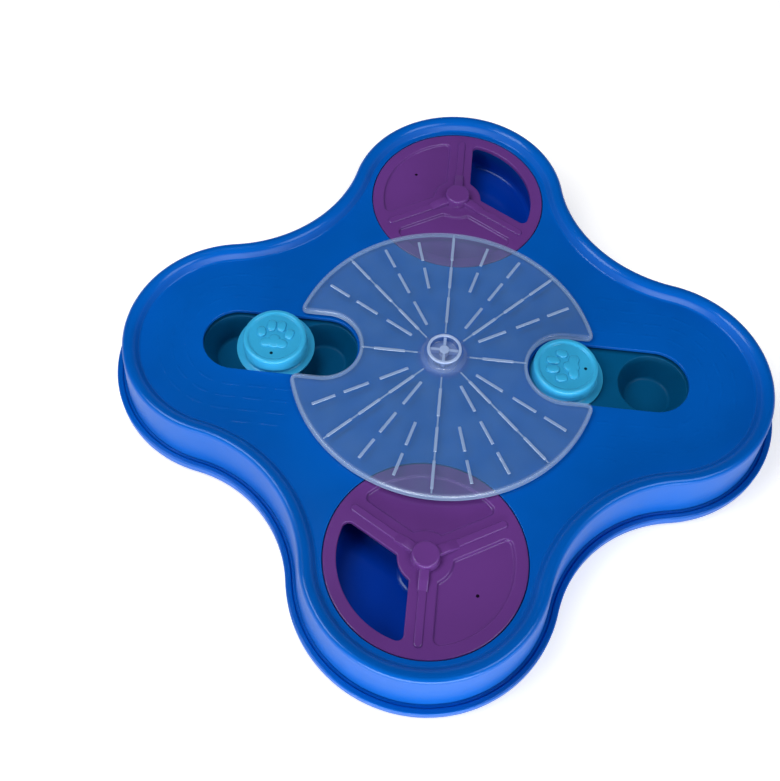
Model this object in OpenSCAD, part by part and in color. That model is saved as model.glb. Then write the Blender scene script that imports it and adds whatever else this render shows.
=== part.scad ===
// Puzzle feeder for dogs: a four-lobed tray with two turning discs, two sliders and a clear turning cover.
// Millimetres, +Z up. The origin is the middle of the toy, on the surface that its feet stand on.
// X runs along the two slots, Y through the two discs.

/* [Outline] */
// Distance from the middle to the centre of each lobe
lobe_offset = 105.7; // [100:0.1:112]
// Radius of each lobe at the crest's outer edge
lobe_r = 58.1; // [56:0.1:64]
// Radius of the hollow waist between two lobes
waist_r = 73.2; // [60:0.1:90]

/* [Top shell] */
// Height of the flat deck above the floor
deck_z = 28.5; // [26:0.5:36]
// Thickness of the deck
deck_t = 2; // [1.6:0.1:2.6]
// Thickness of the outer wall and of the raised rim
wall_t = 2.2; // [1.6:0.1:2.6]
// Height of the rim's crest above the deck
rim_rise = 5; // [3:0.5:7]
// Width of the crest, from the outer edge to the shoulder
crest_w = 5.2; // [4:0.1:5.6]
// Width of the slope from the shoulder to the deck
slope_w = 3.3; // [2.6:0.1:3.4]
// Outward lean of the outer wall over its height
wall_lean = 2.4; // [1:0.1:3]
// Radius of the crest's outer edge
edge_r = 1.5; // [0.8:0.1:2]

/* [Bottom cover] */
// Thickness of the bottom plate
plate_t = 2; // [1.6:0.1:3]
// Height of the feet under the plate
foot_stand = 1.5; // [1:0.1:2.5]
// Height of the lip that stands round the foot of the shell
lip_h = 5.5; // [4:0.5:9]
// Height of the pads inside it that the housing screws go through
pad_h = 2; // [1.6:0.1:3]
// Thickness of that lip
lip_t = 3.2; // [2:0.1:3.5]
// Width of the groove between the lip and the shell
groove_w = 1.4; // [0.8:0.1:2]
// Depth of that groove
groove_h = 1.6; // [1:0.1:3]

/* [Feet] */
// Radius of a foot
foot_r = 8; // [6:0.5:10]
// Depth that a foot sits in the plate
foot_seat = 0.8; // [0.5:0.1:1.2]
// Distance from a lobe's edge in to the middle of its foot
foot_inset = 29.8; // [24:0.1:40]

/* [Turning discs] */
// Radius of a disc
disc_r = 47; // [46:0.1:47.4]
// Thickness of a disc at its rim
disc_t = 2.8; // [2.2:0.1:3.4]
// Width of the rim ring outside the panels
disc_ring_w = 6.2; // [5:0.1:7]
// Width of the three webs between the panels
web_w = 13; // [11:0.5:14]
// Depth that the closed panels lie below the rim
panel_drop = 1; // [0.6:0.1:1.3]
// Radius of the outer corners of windows and panels
panel_corner_r = 3; // [2:0.5:5]
// Radius of the plate round the knob
disc_hub_r = 13; // [12:0.5:14]
// Radius of the knob
knob_r = 6.6; // [6:0.1:7.5]
// Height of the knob above the deck
knob_rise = 4.5; // [3.5:0.1:6]
// Width of a rib
rib_w = 4; // [3:0.1:5]
// Height of a rib above the disc
rib_rise = 0.8; // [0.5:0.1:0.9]
// Distance from the disc's centre to a rib's end
rib_reach = 41.9; // [39:0.1:43]
// Width of a rib's raised root
root_w = 6.2; // [5:0.1:6.4]
// Height of a rib's raised root above the disc
root_rise = 2.2; // [1.5:0.1:3]
// Length of a rib's raised root from the disc's centre
root_reach = 14.4; // [12:0.1:16]

/* [Wells] */
// Depth of a well's floor below the deck
well_depth = 20; // [16:0.5:21]
// Width of the ledge that a disc's edge lies on
ledge_w = 2.9; // [2:0.1:4]
// Thickness of a well's wall
well_t = 1.8; // [1.4:0.1:2.2]
// Outer radius of the post in a well
post_r = 8.6; // [8:0.1:10]
// Thickness of the partitions under the webs
partition_t = 1.6; // [1.2:0.1:2.4]

/* [Slots and cups] */
// Distance from the middle to the centre of a slot's inner end
slot_inner = 61; // [56:0.5:66]
// Step from a slot's edge in to the mouth of its cups
cup_step = 0.4; // [0.3:0.1:2]
// How much narrower a cup is at its floor, all round
cup_taper = 5.6; // [3:0.1:7]
// Depth of a cup below its strip
cup_depth = 13; // [9:0.5:15]
// Wall thickness of a cup and its strip
tray_t = 1.8; // [1.4:0.1:2.2]

/* [Sliders] */
// Radius of a slider's top
slider_r = 16; // [14:0.1:16.4]
// How much wider a slider's body is at its foot, all round
slider_flare = 0.6; // [0.4:0.1:1]
// Length that a slider's flange reaches under the deck past the slot's edge
flange_lap = 2.5; // [2:0.1:3]
// Thickness of that flange at its edge
flange_t = 1.2; // [1:0.1:1.6]
// Height of a slider's top above the deck
slider_rise = 6.6; // [5.5:0.1:8]
// Depth of the face inside a slider's raised edge
face_drop = 1; // [0.6:0.1:1.6]
// Height of the paw print on a slider's face
paw_rise = 0.6; // [0.4:0.1:0.9]
// Distance from the middle at which the left slider stands
left_slider_x = 85.8; // [70:0.1:98]

/* [Clear cover] */
// Radius of the cover
cover_r = 77.9; // [74:0.1:78.4]
// Thickness of the cover
cover_t = 1.8; // [1.4:0.1:2.2]
// Height of the cover's top above the deck
cover_rise = 4.5; // [4.2:0.1:5.2]
// Gap between the cover's wall and the deck
cover_lift = 1.3; // [1.2:0.1:1.6]
// Step from a slot's edge out to the edge of the cover's notch
notch_step = 1.2; // [0.6:0.1:2]
// Radius of the rounded tips beside a notch
tip_r = 3; // [2.2:0.1:4]
// Height of the hub's ring above the deck
hub_rise = 11; // [9:0.5:13]
// Outer radius of the hub's ring at its top
hub_top_r = 10.5; // [10:0.1:11.5]
// Outer radius of the hub at its foot
hub_foot_r = 12.3; // [11.8:0.1:13.5]
// Inner radius of the hub's ring
hub_bore_r = 7.6; // [7:0.1:8.4]
// Width of the dashes on the cover
dash_w = 1.8; // [1.2:0.1:2.4]
// Height of the dashes
dash_h = 0.5; // [0.3:0.1:0.8]
// Width of the thin ribs on the cover
spoke_w = 0.9; // [0.6:0.1:1.4]

/* [Stems] */
// Radius of a disc's stem
stem_r = 4; // [3.5:0.1:4.5]
// Length of the bore that a disc's stem runs in
stem_bore_l = 6.5; // [5:0.5:8]
// Radius of the cover's stem
cover_stem_r = 5; // [4.5:0.1:5.5]
// Length of the bore that the cover's stem runs in
cover_bore_l = 7; // [5:0.5:9]
// Thickness of the washers
washer_t = 1; // [0.8:0.1:1.4]
// Width of a washer outside its stem
washer_w = 2; // [1.6:0.1:2.2]

/* [Screws] */
// Radius of a screw's shank
screw_r = 1.5; // [1.2:0.1:1.6]
// Radius of a screw's head
screw_head_r = 2.9; // [2.6:0.1:3]
// Height of a screw's head
screw_head_h = 1.8; // [1.4:0.1:2]
// Wall of a screw boss round its hole
boss_wall = 2.3; // [1.8:0.1:2.5]
// Length of thread that a screw has in its boss
screw_grip = 5; // [4:0.5:6]

/* [Clearances] */
// Radial running clearance of a stem in its bore
run_gap = 0.06; // [0.03:0.01:0.1]
// Clearance under and over what turns or slides
float_gap = 0.25; // [0.2:0.05:0.35]
// Radial clearance of a disc's edge in its well
disc_gap = 0.4; // [0.3:0.05:0.6]
// Clearance between a slider's body and the slot's edge
slider_gap = 0.9; // [0.6:0.1:1.4]
// Radial clearance of a screw in its hole
screw_gap = 0.06; // [0.04:0.01:0.15]

/* [Hidden] */
$fn = 96;
eps = 0.01;

// Colours
shell_blue = [0.01, 0.33, 0.71];
disc_purple = [0.40, 0.22, 0.53];
slider_turquoise = [0.20, 0.63, 0.82];
tray_teal = [0.00, 0.27, 0.42];
cover_clear = [0.75, 0.78, 0.90, 0.4];
rubber_grey = [0.16, 0.16, 0.18];
steel_grey = [0.62, 0.63, 0.65];

// Outline: the waist circle is tangent to two neighbouring lobes
tangent_reach = lobe_r + waist_r;
waist_c = (lobe_offset + sqrt(2 * tangent_reach * tangent_reach - lobe_offset * lobe_offset)) / 2;
lobe_half_angle = atan2(waist_c, waist_c - lobe_offset);
waist_start = atan2(-waist_c, lobe_offset - waist_c) - (2 * lobe_half_angle - 90);
waist_span = 2 * lobe_half_angle - 90;
seam = 0.02;
seam_angle = 0.3;

// Heights
deck_under = deck_z - deck_t;
plate_z = foot_stand;
plate_top = plate_z + plate_t;
shell_foot_z = plate_top + 0.4;
rim_z = deck_z + rim_rise;
deck_inset = crest_w + slope_w;
boss_top = deck_under + 0.6;
lip_out = wall_lean + groove_w + lip_t;
lip_break = 0.5;
groove_floor_z = max(plate_top, plate_z + lip_h - groove_h);

// Wells and discs
disc_under = deck_z - disc_t;
ledge_z = disc_under - float_gap;
mouth_r = disc_r + disc_gap;
cavity_r = mouth_r - ledge_w;
well_floor_z = deck_z - well_depth;
post_top = disc_under - float_gap;
stem_shelf_z = post_top - stem_bore_l;
stem_end_z = stem_shelf_z - float_gap;
window_r = disc_r - disc_ring_w;
disc_washer_r = stem_r + washer_w;
well_corner = 3;
well_draft = 0.8;

// Feet
foot_offset = lobe_offset + lobe_r - foot_inset;

// Sliders and trays: a slot is as wide as its slider needs
slider_body_r = slider_r + slider_flare;
slot_r = slider_body_r + slider_gap;
flange_r = slot_r + flange_lap;
notch_r = slot_r + notch_step;
cup_r = slot_r - cup_step;
cup_floor_r = cup_r - cup_taper;
flange_top_z = deck_under - float_gap;
flange_foot_z = flange_top_z - 0.6 - flange_t;
strip_z = flange_foot_z - float_gap;
cup_floor_z = strip_z - cup_depth;
rail_r = flange_r + 0.5;
tray_r = rail_r + tray_t;
boss_r = screw_r + boss_wall;
ear_y = tray_r + 0.6 + boss_r;
ear_inset = 7;
tray_boss_foot = deck_under - screw_grip;
ear_t = 2;

// Clear cover
cover_z = deck_z + cover_rise;
cover_under = cover_z - cover_t;
cover_foot_z = deck_z + cover_lift;
cover_shelf_z = deck_z - cover_bore_l;
cover_stem_end_z = cover_shelf_z - float_gap;
cover_washer_r = cover_stem_r + washer_w;
hub_z = deck_z + hub_rise;
dash_rings = [[19.5, 35.2], [41, 54.5], [59, 71.5]];
hub_boss_r = cover_washer_r + 0.4 + boss_wall;
hub_boss_foot = cover_stem_end_z - washer_t - screw_head_h - 1;

// Housing screws: four in the waists and two in each slot lobe
waist_boss_d = waist_c * sqrt(2) - waist_r - 21;
lobe_boss_angle = 44;
lobe_boss_reach = lobe_r - wall_t - boss_r - 2.4;
housing_points = concat(
    [for (q = [0:3]) waist_boss_d * [cos(45 + 90 * q), sin(45 + 90 * q)]],
    [for (sx = [-1, 1], sy = [-1, 1])
        [sx * (lobe_offset + lobe_boss_reach * cos(lobe_boss_angle)), sy * lobe_boss_reach * sin(lobe_boss_angle)]]);
housing_pad_top = plate_top + pad_h;
housing_screw_seat = housing_pad_top - 1.6;

// Points of an arc, from angle a0 to a1, in n steps
function arc(cx, cy, r, a0, a1, n) =
    [for (i = [0:n]) let (a = a0 + (a1 - a0) * i / n) [cx + r * cos(a), cy + r * sin(a)]];

// The four-lobed outline, grown outwards by g
module outline(g) {
    difference() {
        union() {
            for (q = [0:3]) rotate(90 * q) translate([lobe_offset, 0]) circle(lobe_r + g);
            polygon([for (q = [0:3], k = [0, 1]) let (p = k == 0 ? [lobe_offset, 0] : [waist_c, waist_c])
                [p.x * cos(90 * q) - p.y * sin(90 * q), p.x * sin(90 * q) + p.y * cos(90 * q)]]);
        }
        for (q = [0:3]) rotate(90 * q) translate([waist_c, waist_c]) circle(waist_r - g + seam);
    }
}

// Carry a flat profile round the lobes and round the waists: its x is the distance outside the outline, its y the
// height. The waists' profile is thinner by seam and reaches a little into the lobes, so that the two join.
module round_lobes() {
    for (q = [0:3]) rotate(90 * q) translate([lobe_offset, 0, 0]) rotate(-lobe_half_angle)
        rotate_extrude(angle = 2 * lobe_half_angle) translate([lobe_r, 0]) children();
}
module round_waists() {
    for (q = [0:3]) rotate(90 * q) translate([waist_c, waist_c, 0]) rotate(waist_start - seam_angle)
        rotate_extrude(angle = waist_span + 2 * seam_angle) translate([waist_r, 0]) mirror([1, 0]) children();
}

// A flat slot with round ends between two points on X
module slot_shape(x0, x1, r) {
    translate([x0, 0]) circle(r);
    translate([x1, 0]) circle(r);
    translate([x0, -r]) square([x1 - x0, 2 * r]);
}

// A pan-head screw: its head's seat is at z = 0, its shank goes up
module pan_screw(shank_l) {
    difference() {
        union() {
            cylinder(r = screw_r, h = shank_l);
            rotate_extrude() polygon(concat([[0, 0], [screw_head_r, 0]],
                arc(screw_head_r - 0.9, -screw_head_h + 0.9, 0.9, 0, -90, 4), [[0, -screw_head_h]]));
        }
        for (a = [0, 90]) rotate(a) translate([-1.6, -0.35, -screw_head_h - eps]) cube([3.2, 0.7, 1]);
    }
}

// A flat washer whose top is at z = 0
module washer(r) {
    translate([0, 0, -washer_t]) difference() {
        cylinder(r = r, h = washer_t);
        translate([0, 0, -eps]) cylinder(r = screw_r + screw_gap, h = washer_t + 2 * eps);
    }
}

// Section through the outer wall and the raised rim, thinned by g on every side
module rim_section(g) {
    slope = atan2(rim_rise, slope_w);
    shoulder_r = 2;
    fillet_r = 1.6;
    foot_in = -deck_inset - 5;
    polygon(concat(
        [[wall_lean - g, shell_foot_z + g]],
        arc(-edge_r, rim_z - edge_r, edge_r - g, 0, 90, 5),
        arc(-crest_w + shoulder_r * tan(slope / 2), rim_z - shoulder_r, shoulder_r - g, 90, 90 + slope, 5),
        arc(-deck_inset - fillet_r * tan(slope / 2), deck_z + fillet_r, fillet_r + g + 0.01, slope - 90, -90, 4),
        [[foot_in, deck_z - g - 0.01], [foot_in, deck_under + g + 0.01], [-deck_inset + 0.4 - g, deck_under + g + 0.01],
         [-crest_w + 0.2 - g, rim_z - wall_t + g], [-wall_t - 0.4 + g, rim_z - wall_t + g],
         [wall_lean - wall_t + g, shell_foot_z + g]]));
}

// Section through the outside of a well: its mouth, wall and floor
module well_outside() {
    polygon(concat(
        [[0, deck_z - eps], [mouth_r + wall_t, deck_z - eps], [mouth_r + wall_t, ledge_z - 1.6],
         [cavity_r + well_t, ledge_z - ledge_w - 1]],
        arc(cavity_r - well_corner - well_draft, well_floor_z + well_corner, well_corner + well_t, 0, -90, 4),
        [[0, well_floor_z - well_t]]));
}

// Section through the inside of a well: its mouth, ledge and cavity round the post
module well_inside() {
    polygon(concat(
        [[0, deck_z + 1], [mouth_r, deck_z + 1], [mouth_r, ledge_z], [cavity_r, ledge_z]],
        arc(cavity_r - well_corner - well_draft, well_floor_z + well_corner, well_corner, 0, -90, 4),
        arc(post_r + 4, well_floor_z + 4, 4, -90, -175, 4), [[post_r, post_top], [0, post_top]]));
}

// The partitions of a well, under the webs of its disc
module well_partitions() {
    for (a = [-90, 30, 150]) rotate(a) translate([post_r - 0.5, -partition_t / 2, well_floor_z - well_t / 2])
        cube([cavity_r - post_r + 0.5 + well_t / 2, partition_t, post_top - 0.5 - well_floor_z + well_t / 2]);
}

// A hanging boss for a screw from below, and the hole in it
module screw_boss(top_z, foot_z) { translate([0, 0, foot_z]) cylinder(r = boss_r, h = top_z - foot_z); }
module screw_hole(foot_z) { translate([0, 0, foot_z - 1]) cylinder(r = screw_r + screw_gap, h = screw_grip + 1.6); }

// The four screw places of a cup tray
module at_tray_screws() {
    for (x = [slot_inner + ear_inset, lobe_offset - ear_inset], sy = [-1, 1]) translate([x, sy * ear_y, 0]) children();
}

module top_shell() {
    color(shell_blue) {
        difference() {
            union() {
                round_lobes() rim_section(0);
                round_waists() rim_section(seam);
                translate([0, 0, deck_under]) linear_extrude(deck_t) outline(-deck_inset - 4);
                for (q = [0, 180]) rotate(q) translate([0, -lobe_offset, 0]) rotate_extrude() well_outside();
                translate([0, 0, hub_boss_foot]) cylinder(r = hub_boss_r, h = boss_top - hub_boss_foot);
                for (q = [0, 180]) rotate(q) at_tray_screws() screw_boss(boss_top, tray_boss_foot);
                for (p = housing_points) translate([p.x, p.y, 0]) screw_boss(boss_top, housing_pad_top);
            }
            for (q = [0, 180]) rotate(q) translate([0, -lobe_offset, 0]) {
                rotate_extrude() well_inside();
                translate([0, 0, stem_shelf_z - 1]) cylinder(r = stem_r + run_gap, h = stem_bore_l + 2);
                translate([0, 0, well_floor_z - well_t - 1])
                    cylinder(r = disc_washer_r + 0.4, h = stem_shelf_z - well_floor_z + well_t + 1);
            }
            for (q = [0, 180]) rotate(q) translate([0, 0, deck_under - 1])
                linear_extrude(deck_t + 2) slot_shape(slot_inner, lobe_offset, slot_r);
            translate([0, 0, cover_shelf_z - 1]) cylinder(r = cover_stem_r + run_gap, h = cover_bore_l + 2);
            translate([0, 0, hub_boss_foot - 1]) cylinder(r = cover_washer_r + 0.4, h = cover_shelf_z - hub_boss_foot + 1);
            for (q = [0, 180]) rotate(q) at_tray_screws() screw_hole(tray_boss_foot);
            for (p = housing_points) translate([p.x, p.y, 0]) screw_hole(housing_pad_top);
        }
        for (q = [0, 180]) rotate(q) translate([0, -lobe_offset, 0]) well_partitions();
    }
}

// The bottom plate with its lip: three outlines on each other break the lip's edges, and a step inside it makes the
// groove round the shell's foot shallow
module plate_and_lip() {
    lip_in = lip_out - lip_t;
    difference() {
        union() {
            translate([0, 0, plate_z]) linear_extrude(lip_break + eps) outline(lip_out - lip_break);
            translate([0, 0, plate_z + lip_break]) linear_extrude(lip_h - 2 * lip_break) outline(lip_out);
            translate([0, 0, plate_z + lip_h - lip_break - eps]) linear_extrude(lip_break + eps) outline(lip_out - lip_break);
        }
        translate([0, 0, plate_top]) linear_extrude(lip_h) outline(wall_lean + 0.3);
        translate([0, 0, groove_floor_z]) linear_extrude(lip_h) outline(lip_in);
    }
}

module bottom_cover() {
    color(shell_blue) difference() {
        union() {
            plate_and_lip();
            for (p = housing_points) translate([p.x, p.y, plate_top - eps]) cylinder(r = screw_head_r + 2.2, h = pad_h + eps);
        }
        for (p = housing_points) translate([p.x, p.y, 0]) {
            translate([0, 0, plate_z - 1]) cylinder(r = screw_r + screw_gap + 0.1, h = plate_t + pad_h + 2);
            translate([0, 0, plate_z - 1]) cylinder(r = screw_head_r + 0.3, h = housing_screw_seat - plate_z + 1);
        }
        for (q = [0:3]) rotate(90 * q) translate([foot_offset, 0, plate_z - 1]) cylinder(r = foot_r + 0.1, h = foot_seat + 1);
    }
}

module cup_tray() {
    cup_wall_r = cup_r + tray_t;
    difference() {
        union() {
            translate([0, 0, strip_z - tray_t]) linear_extrude(tray_t) slot_shape(slot_inner, lobe_offset, tray_r);
            translate([0, 0, strip_z - eps]) linear_extrude(deck_under - strip_z + eps) difference() {
                slot_shape(slot_inner, lobe_offset, tray_r);
                slot_shape(slot_inner, lobe_offset, rail_r);
            }
            for (x = [slot_inner, lobe_offset]) translate([x, 0, 0]) rotate_extrude()
                polygon([[0, cup_floor_z - tray_t], [cup_floor_r - 0.6, cup_floor_z - tray_t],
                    [cup_floor_r + tray_t * 0.8, cup_floor_z - 0.2], [cup_wall_r, strip_z - eps], [0, strip_z - eps]]);
            for (x = [slot_inner + ear_inset, lobe_offset - ear_inset], sy = [-1, 1]) scale([1, sy, 1]) {
                translate([x, ear_y, tray_boss_foot - ear_t]) cylinder(r = boss_r, h = ear_t);
                translate([x - boss_r, rail_r - 3, tray_boss_foot - ear_t]) cube([2 * boss_r, ear_y - rail_r + 3, ear_t]);
                translate([x - boss_r, rail_r - 3, tray_boss_foot - ear_t]) cube([2 * boss_r, 3, strip_z - tray_boss_foot + ear_t - eps]);
            }
        }
        for (x = [slot_inner, lobe_offset]) translate([x, 0, 0]) rotate_extrude()
            polygon(concat([[0, cup_floor_z]], arc(cup_floor_r - 2, cup_floor_z + 2, 2, -90, -25, 3),
                [[cup_r, strip_z - 0.8], [cup_r, strip_z + eps], [0, strip_z + eps]]));
        for (x = [slot_inner + ear_inset, lobe_offset - ear_inset], sy = [-1, 1]) translate([x, sy * ear_y, tray_boss_foot - ear_t - 1])
            cylinder(r = screw_r + screw_gap + 0.1, h = ear_t + 2);
    }
}

module right_cup_tray() { color(tray_teal) cup_tray(); }
module left_cup_tray() { color(tray_teal) rotate(180) cup_tray(); }

module tray_screws() {
    at_tray_screws() translate([0, 0, tray_boss_foot - ear_t]) pan_screw(screw_grip + ear_t);
}
module right_tray_screws() { color(steel_grey) tray_screws(); }
module left_tray_screws() { color(steel_grey) rotate(180) tray_screws(); }

module housing_screws() {
    color(steel_grey) for (p = housing_points) translate([p.x, p.y, housing_screw_seat]) pan_screw(housing_pad_top - housing_screw_seat + screw_grip);
}

module foot() {
    translate([foot_offset, 0, 0]) rotate_extrude()
        polygon([[0, 0], [foot_r - 0.6, 0], [foot_r, 0.6], [foot_r, plate_z + foot_seat], [0, plate_z + foot_seat]]);
}
module front_foot() { color(rubber_grey) rotate(-90) foot(); }
module back_foot() { color(rubber_grey) rotate(90) foot(); }
module right_foot() { color(rubber_grey) foot(); }
module left_foot() { color(rubber_grey) rotate(180) foot(); }

// What a panel's outer corner loses by its rounding: x runs along the web beside it, y away from the web
module panel_corner() {
    r = panel_corner_r;
    y0 = web_w / 2;
    x0 = sqrt((window_r - r) * (window_r - r) - (y0 + r) * (y0 + r));
    difference() {
        polygon([[x0, y0 - 0.1], [window_r + 1, y0 - 0.1], [x0, y0 + r] * (window_r + 1) / (window_r - r), [x0, y0 + r]]);
        translate([x0, y0 + r]) circle(r, $fn = 48);
    }
}

// One panel or window, centred on +X
module panel_shape() {
    difference() {
        circle(window_r);
        circle(disc_hub_r);
        translate([-disc_r, -disc_r]) square([disc_r, 2 * disc_r]);
        for (m = [0, 1]) mirror([0, m]) rotate(60) {
            translate([-disc_r, -web_w / 2]) square([2 * disc_r, web_w]);
            translate([-disc_r, 0]) square([2 * disc_r, disc_r + 1]);
            mirror([0, 1]) panel_corner();
        }
    }
}

// A rib with a rounded end, along +X
module rib(w, reach, rise) {
    translate([0, 0, deck_z - eps]) linear_extrude(rise + eps) {
        translate([0, -w / 2]) square([reach - w / 2, w]);
        translate([reach - w / 2, 0]) circle(w / 2, $fn = 32);
    }
}

// A turning disc, round Z: ribs at -90, 30 and 150 degrees, the window at 210 degrees
module disc() {
    difference() {
        translate([0, 0, disc_under]) cylinder(r = disc_r, h = disc_t);
        rotate(210) translate([0, 0, disc_under - 1]) linear_extrude(disc_t + 2) panel_shape();
        for (a = [90, 330]) rotate(a) translate([0, 0, deck_z - panel_drop]) linear_extrude(panel_drop + 1) panel_shape();
        translate([0, 0, disc_under - eps]) cylinder(r = screw_r + screw_gap, h = disc_t / 2);
    }
    for (a = [-90, 30, 150]) rotate(a) {
        rib(rib_w, rib_reach, rib_rise);
        rib(root_w, root_reach, root_rise);
    }
    rotate_extrude() polygon(concat([[0, deck_z - eps], [knob_r, deck_z - eps]],
        arc(knob_r - 1, deck_z + knob_rise - 1, 1, 0, 90, 4), [[0, deck_z + knob_rise]]));
    translate([0, 0, stem_end_z]) difference() {
        cylinder(r = stem_r, h = disc_under - stem_end_z + eps);
        translate([0, 0, -eps]) cylinder(r = screw_r + screw_gap, h = disc_under - stem_end_z + 3 * eps);
    }
}

module front_disc() { color(disc_purple) translate([0, -lobe_offset, 0]) disc(); }
module back_disc() { color(disc_purple) rotate(180) translate([0, -lobe_offset, 0]) disc(); }

module disc_washer() { translate([0, -lobe_offset, stem_end_z]) washer(disc_washer_r); }
module front_disc_washer() { color(steel_grey) disc_washer(); }
module back_disc_washer() { color(steel_grey) rotate(180) disc_washer(); }

module disc_screw() {
    translate([0, -lobe_offset, stem_end_z - washer_t]) pan_screw(washer_t + disc_under - stem_end_z + disc_t / 2 - 0.5);
}
module front_disc_screw() { color(steel_grey) disc_screw(); }
module back_disc_screw() { color(steel_grey) rotate(180) disc_screw(); }

// The cover's outline, drawn in by g all round: a circle with two notches whose tips are rounded
module cover_shape(g) {
    r = cover_r - g;
    n = notch_r + g;
    t = tip_r - g;
    tip_x = sqrt((r - t) * (r - t) - (n + t) * (n + t));
    difference() {
        circle(r, $fn = 180);
        for (m = [0, 1]) mirror([m, 0]) {
            slot_shape(slot_inner, lobe_offset, n);
            for (sy = [-1, 1]) scale([1, sy]) difference() {
                polygon([[tip_x, n - eps], [lobe_offset, n - eps], [lobe_offset, n + t],
                    [tip_x, n + t] * (r + 1) / (r - t), [tip_x, n + t]]);
                translate([tip_x, n + t]) circle(t, $fn = 48);
            }
        }
    }
}

// A dash with round ends along +X
module dash(r0, r1) { slot_shape(r0 + dash_w / 2, r1 - dash_w / 2, dash_w / 2, $fn = 24); }

// The dashes and thin ribs on the cover, at 15 degrees apart, none where a notch is
module dash_shapes() {
    for (a = [0:15:345]) rotate(a) {
        from_slots = abs(a % 180 > 90 ? a % 180 - 180 : a % 180);
        full = a % 45 == 0 && from_slots > 0;
        first = from_slots == 75 ? 1 : 0;
        last = from_slots == 0 ? 0 : 2;
        if (from_slots != 15) for (i = [first:last])
            dash(dash_rings[i][0], dash_rings[i][1] + (full && i == 2 ? 2.5 : 0));
        if (full || from_slots == 0) translate([hub_foot_r - 1, -spoke_w / 2])
            square([(full ? cover_r - 1.5 : slot_inner - notch_r) - hub_foot_r + 0.8, spoke_w]);
    }
}

module clear_cover() {
    hub_floor_z = cover_z + 2;
    color(cover_clear) {
        difference() {
            union() {
                translate([0, 0, cover_under]) linear_extrude(cover_t) cover_shape(0);
                translate([0, 0, cover_foot_z]) linear_extrude(cover_under - cover_foot_z + eps) difference() {
                    cover_shape(0);
                    cover_shape(cover_t);
                }
                translate([0, 0, cover_z - eps]) linear_extrude(dash_h + eps) dash_shapes();
                rotate_extrude() polygon(concat([[0, cover_z - eps], [hub_foot_r, cover_z - eps]],
                    arc(hub_top_r - 1, hub_z - 1, 1, 15, 90, 3), arc(hub_bore_r + 0.8, hub_z - 0.8, 0.8, 90, 180, 3),
                    [[hub_bore_r, hub_floor_z], [0, hub_floor_z]]));
                for (a = [0, 90]) rotate(a) translate([-hub_bore_r - 0.3, -0.8, hub_floor_z - eps]) cube([2 * hub_bore_r + 0.6, 1.6, hub_z - hub_floor_z - 1]);
                translate([0, 0, hub_floor_z - eps]) cylinder(r = 2.6, h = hub_z - hub_floor_z - 0.8);
                translate([0, 0, deck_z + float_gap]) cylinder(r = cover_stem_r + 3, h = cover_under - deck_z - float_gap + eps);
                translate([0, 0, cover_stem_end_z]) cylinder(r = cover_stem_r, h = deck_z - cover_stem_end_z + 1);
            }
            translate([0, 0, cover_stem_end_z - eps]) cylinder(r = screw_r + screw_gap, h = cover_under - cover_stem_end_z);
        }
    }
}

module cover_washer() { color(steel_grey) translate([0, 0, cover_stem_end_z]) washer(cover_washer_r); }
module cover_screw() {
    color(steel_grey) translate([0, 0, cover_stem_end_z - washer_t]) pan_screw(washer_t + cover_under - cover_stem_end_z - 0.5);
}

// A paw print with its toes towards +Y
module paw() {
    // one unit is a sixteenth of the slider's radius
    u = slider_r / 16;
    toe_places = [[-7.3, 1.2, 2.1, 30], [-2.7, 5.4, 2.2, 8], [2.7, 5.4, 2.2, -8], [7.3, 1.2, 2.1, -30]];
    linear_extrude(paw_rise) {
        for (t = toe_places) translate([t[0] * u, t[1] * u]) rotate(t[3]) {
            translate([0, -0.9 * u]) circle(t[2] * u, $fn = 32);
            translate([0, 1.1 * u]) circle(t[2] * 0.92 * u, $fn = 32);
        }
        translate([0, -3.2 * u]) circle(3.4 * u, $fn = 32);
        for (sx = [-1, 1]) translate([3.6 * sx * u, -5 * u]) circle(2.6 * u, $fn = 32);
    }
}

// A slider round Z: top with a raised edge, hollow body, and the flange that runs under the deck
module slider() {
    top_z = deck_z + slider_rise;
    face_z = top_z - face_drop;
    wall = 1.8;
    rotate_extrude() polygon(concat(
        [[0, face_z], [slider_r - 2.4 - face_drop, face_z]],
        arc(slider_r - 1.3, top_z - 1.3, 1.3, 130, 0, 6),
        [[slider_body_r, flange_top_z], [flange_r, flange_foot_z + flange_t], [flange_r, flange_foot_z],
         [flange_r - 2, flange_foot_z], [slider_body_r - wall, flange_top_z - 0.4], [slider_r - wall, face_z - wall], [0, face_z - wall]]));
    translate([0, 0, face_z - eps]) paw();
}

module right_slider() { color(slider_turquoise) translate([slot_inner, 0, 0]) rotate(90) slider(); }
module left_slider() { color(slider_turquoise) translate([-left_slider_x, 0, 0]) slider(); }

top_shell();
bottom_cover();
right_cup_tray();
left_cup_tray();
right_tray_screws();
left_tray_screws();
housing_screws();
front_foot();
back_foot();
right_foot();
left_foot();
front_disc();
back_disc();
front_disc_washer();
back_disc_washer();
front_disc_screw();
back_disc_screw();
clear_cover();
cover_washer();
cover_screw();
right_slider();
left_slider();
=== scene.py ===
"""Dog puzzle feeder toy: the pieces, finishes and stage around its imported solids.

Shapes are worked out in millimetres and written to the meshes in metres. +Z is up, X runs along the two
slots and Y through the two turning discs.
"""
import math
from types import SimpleNamespace

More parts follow.
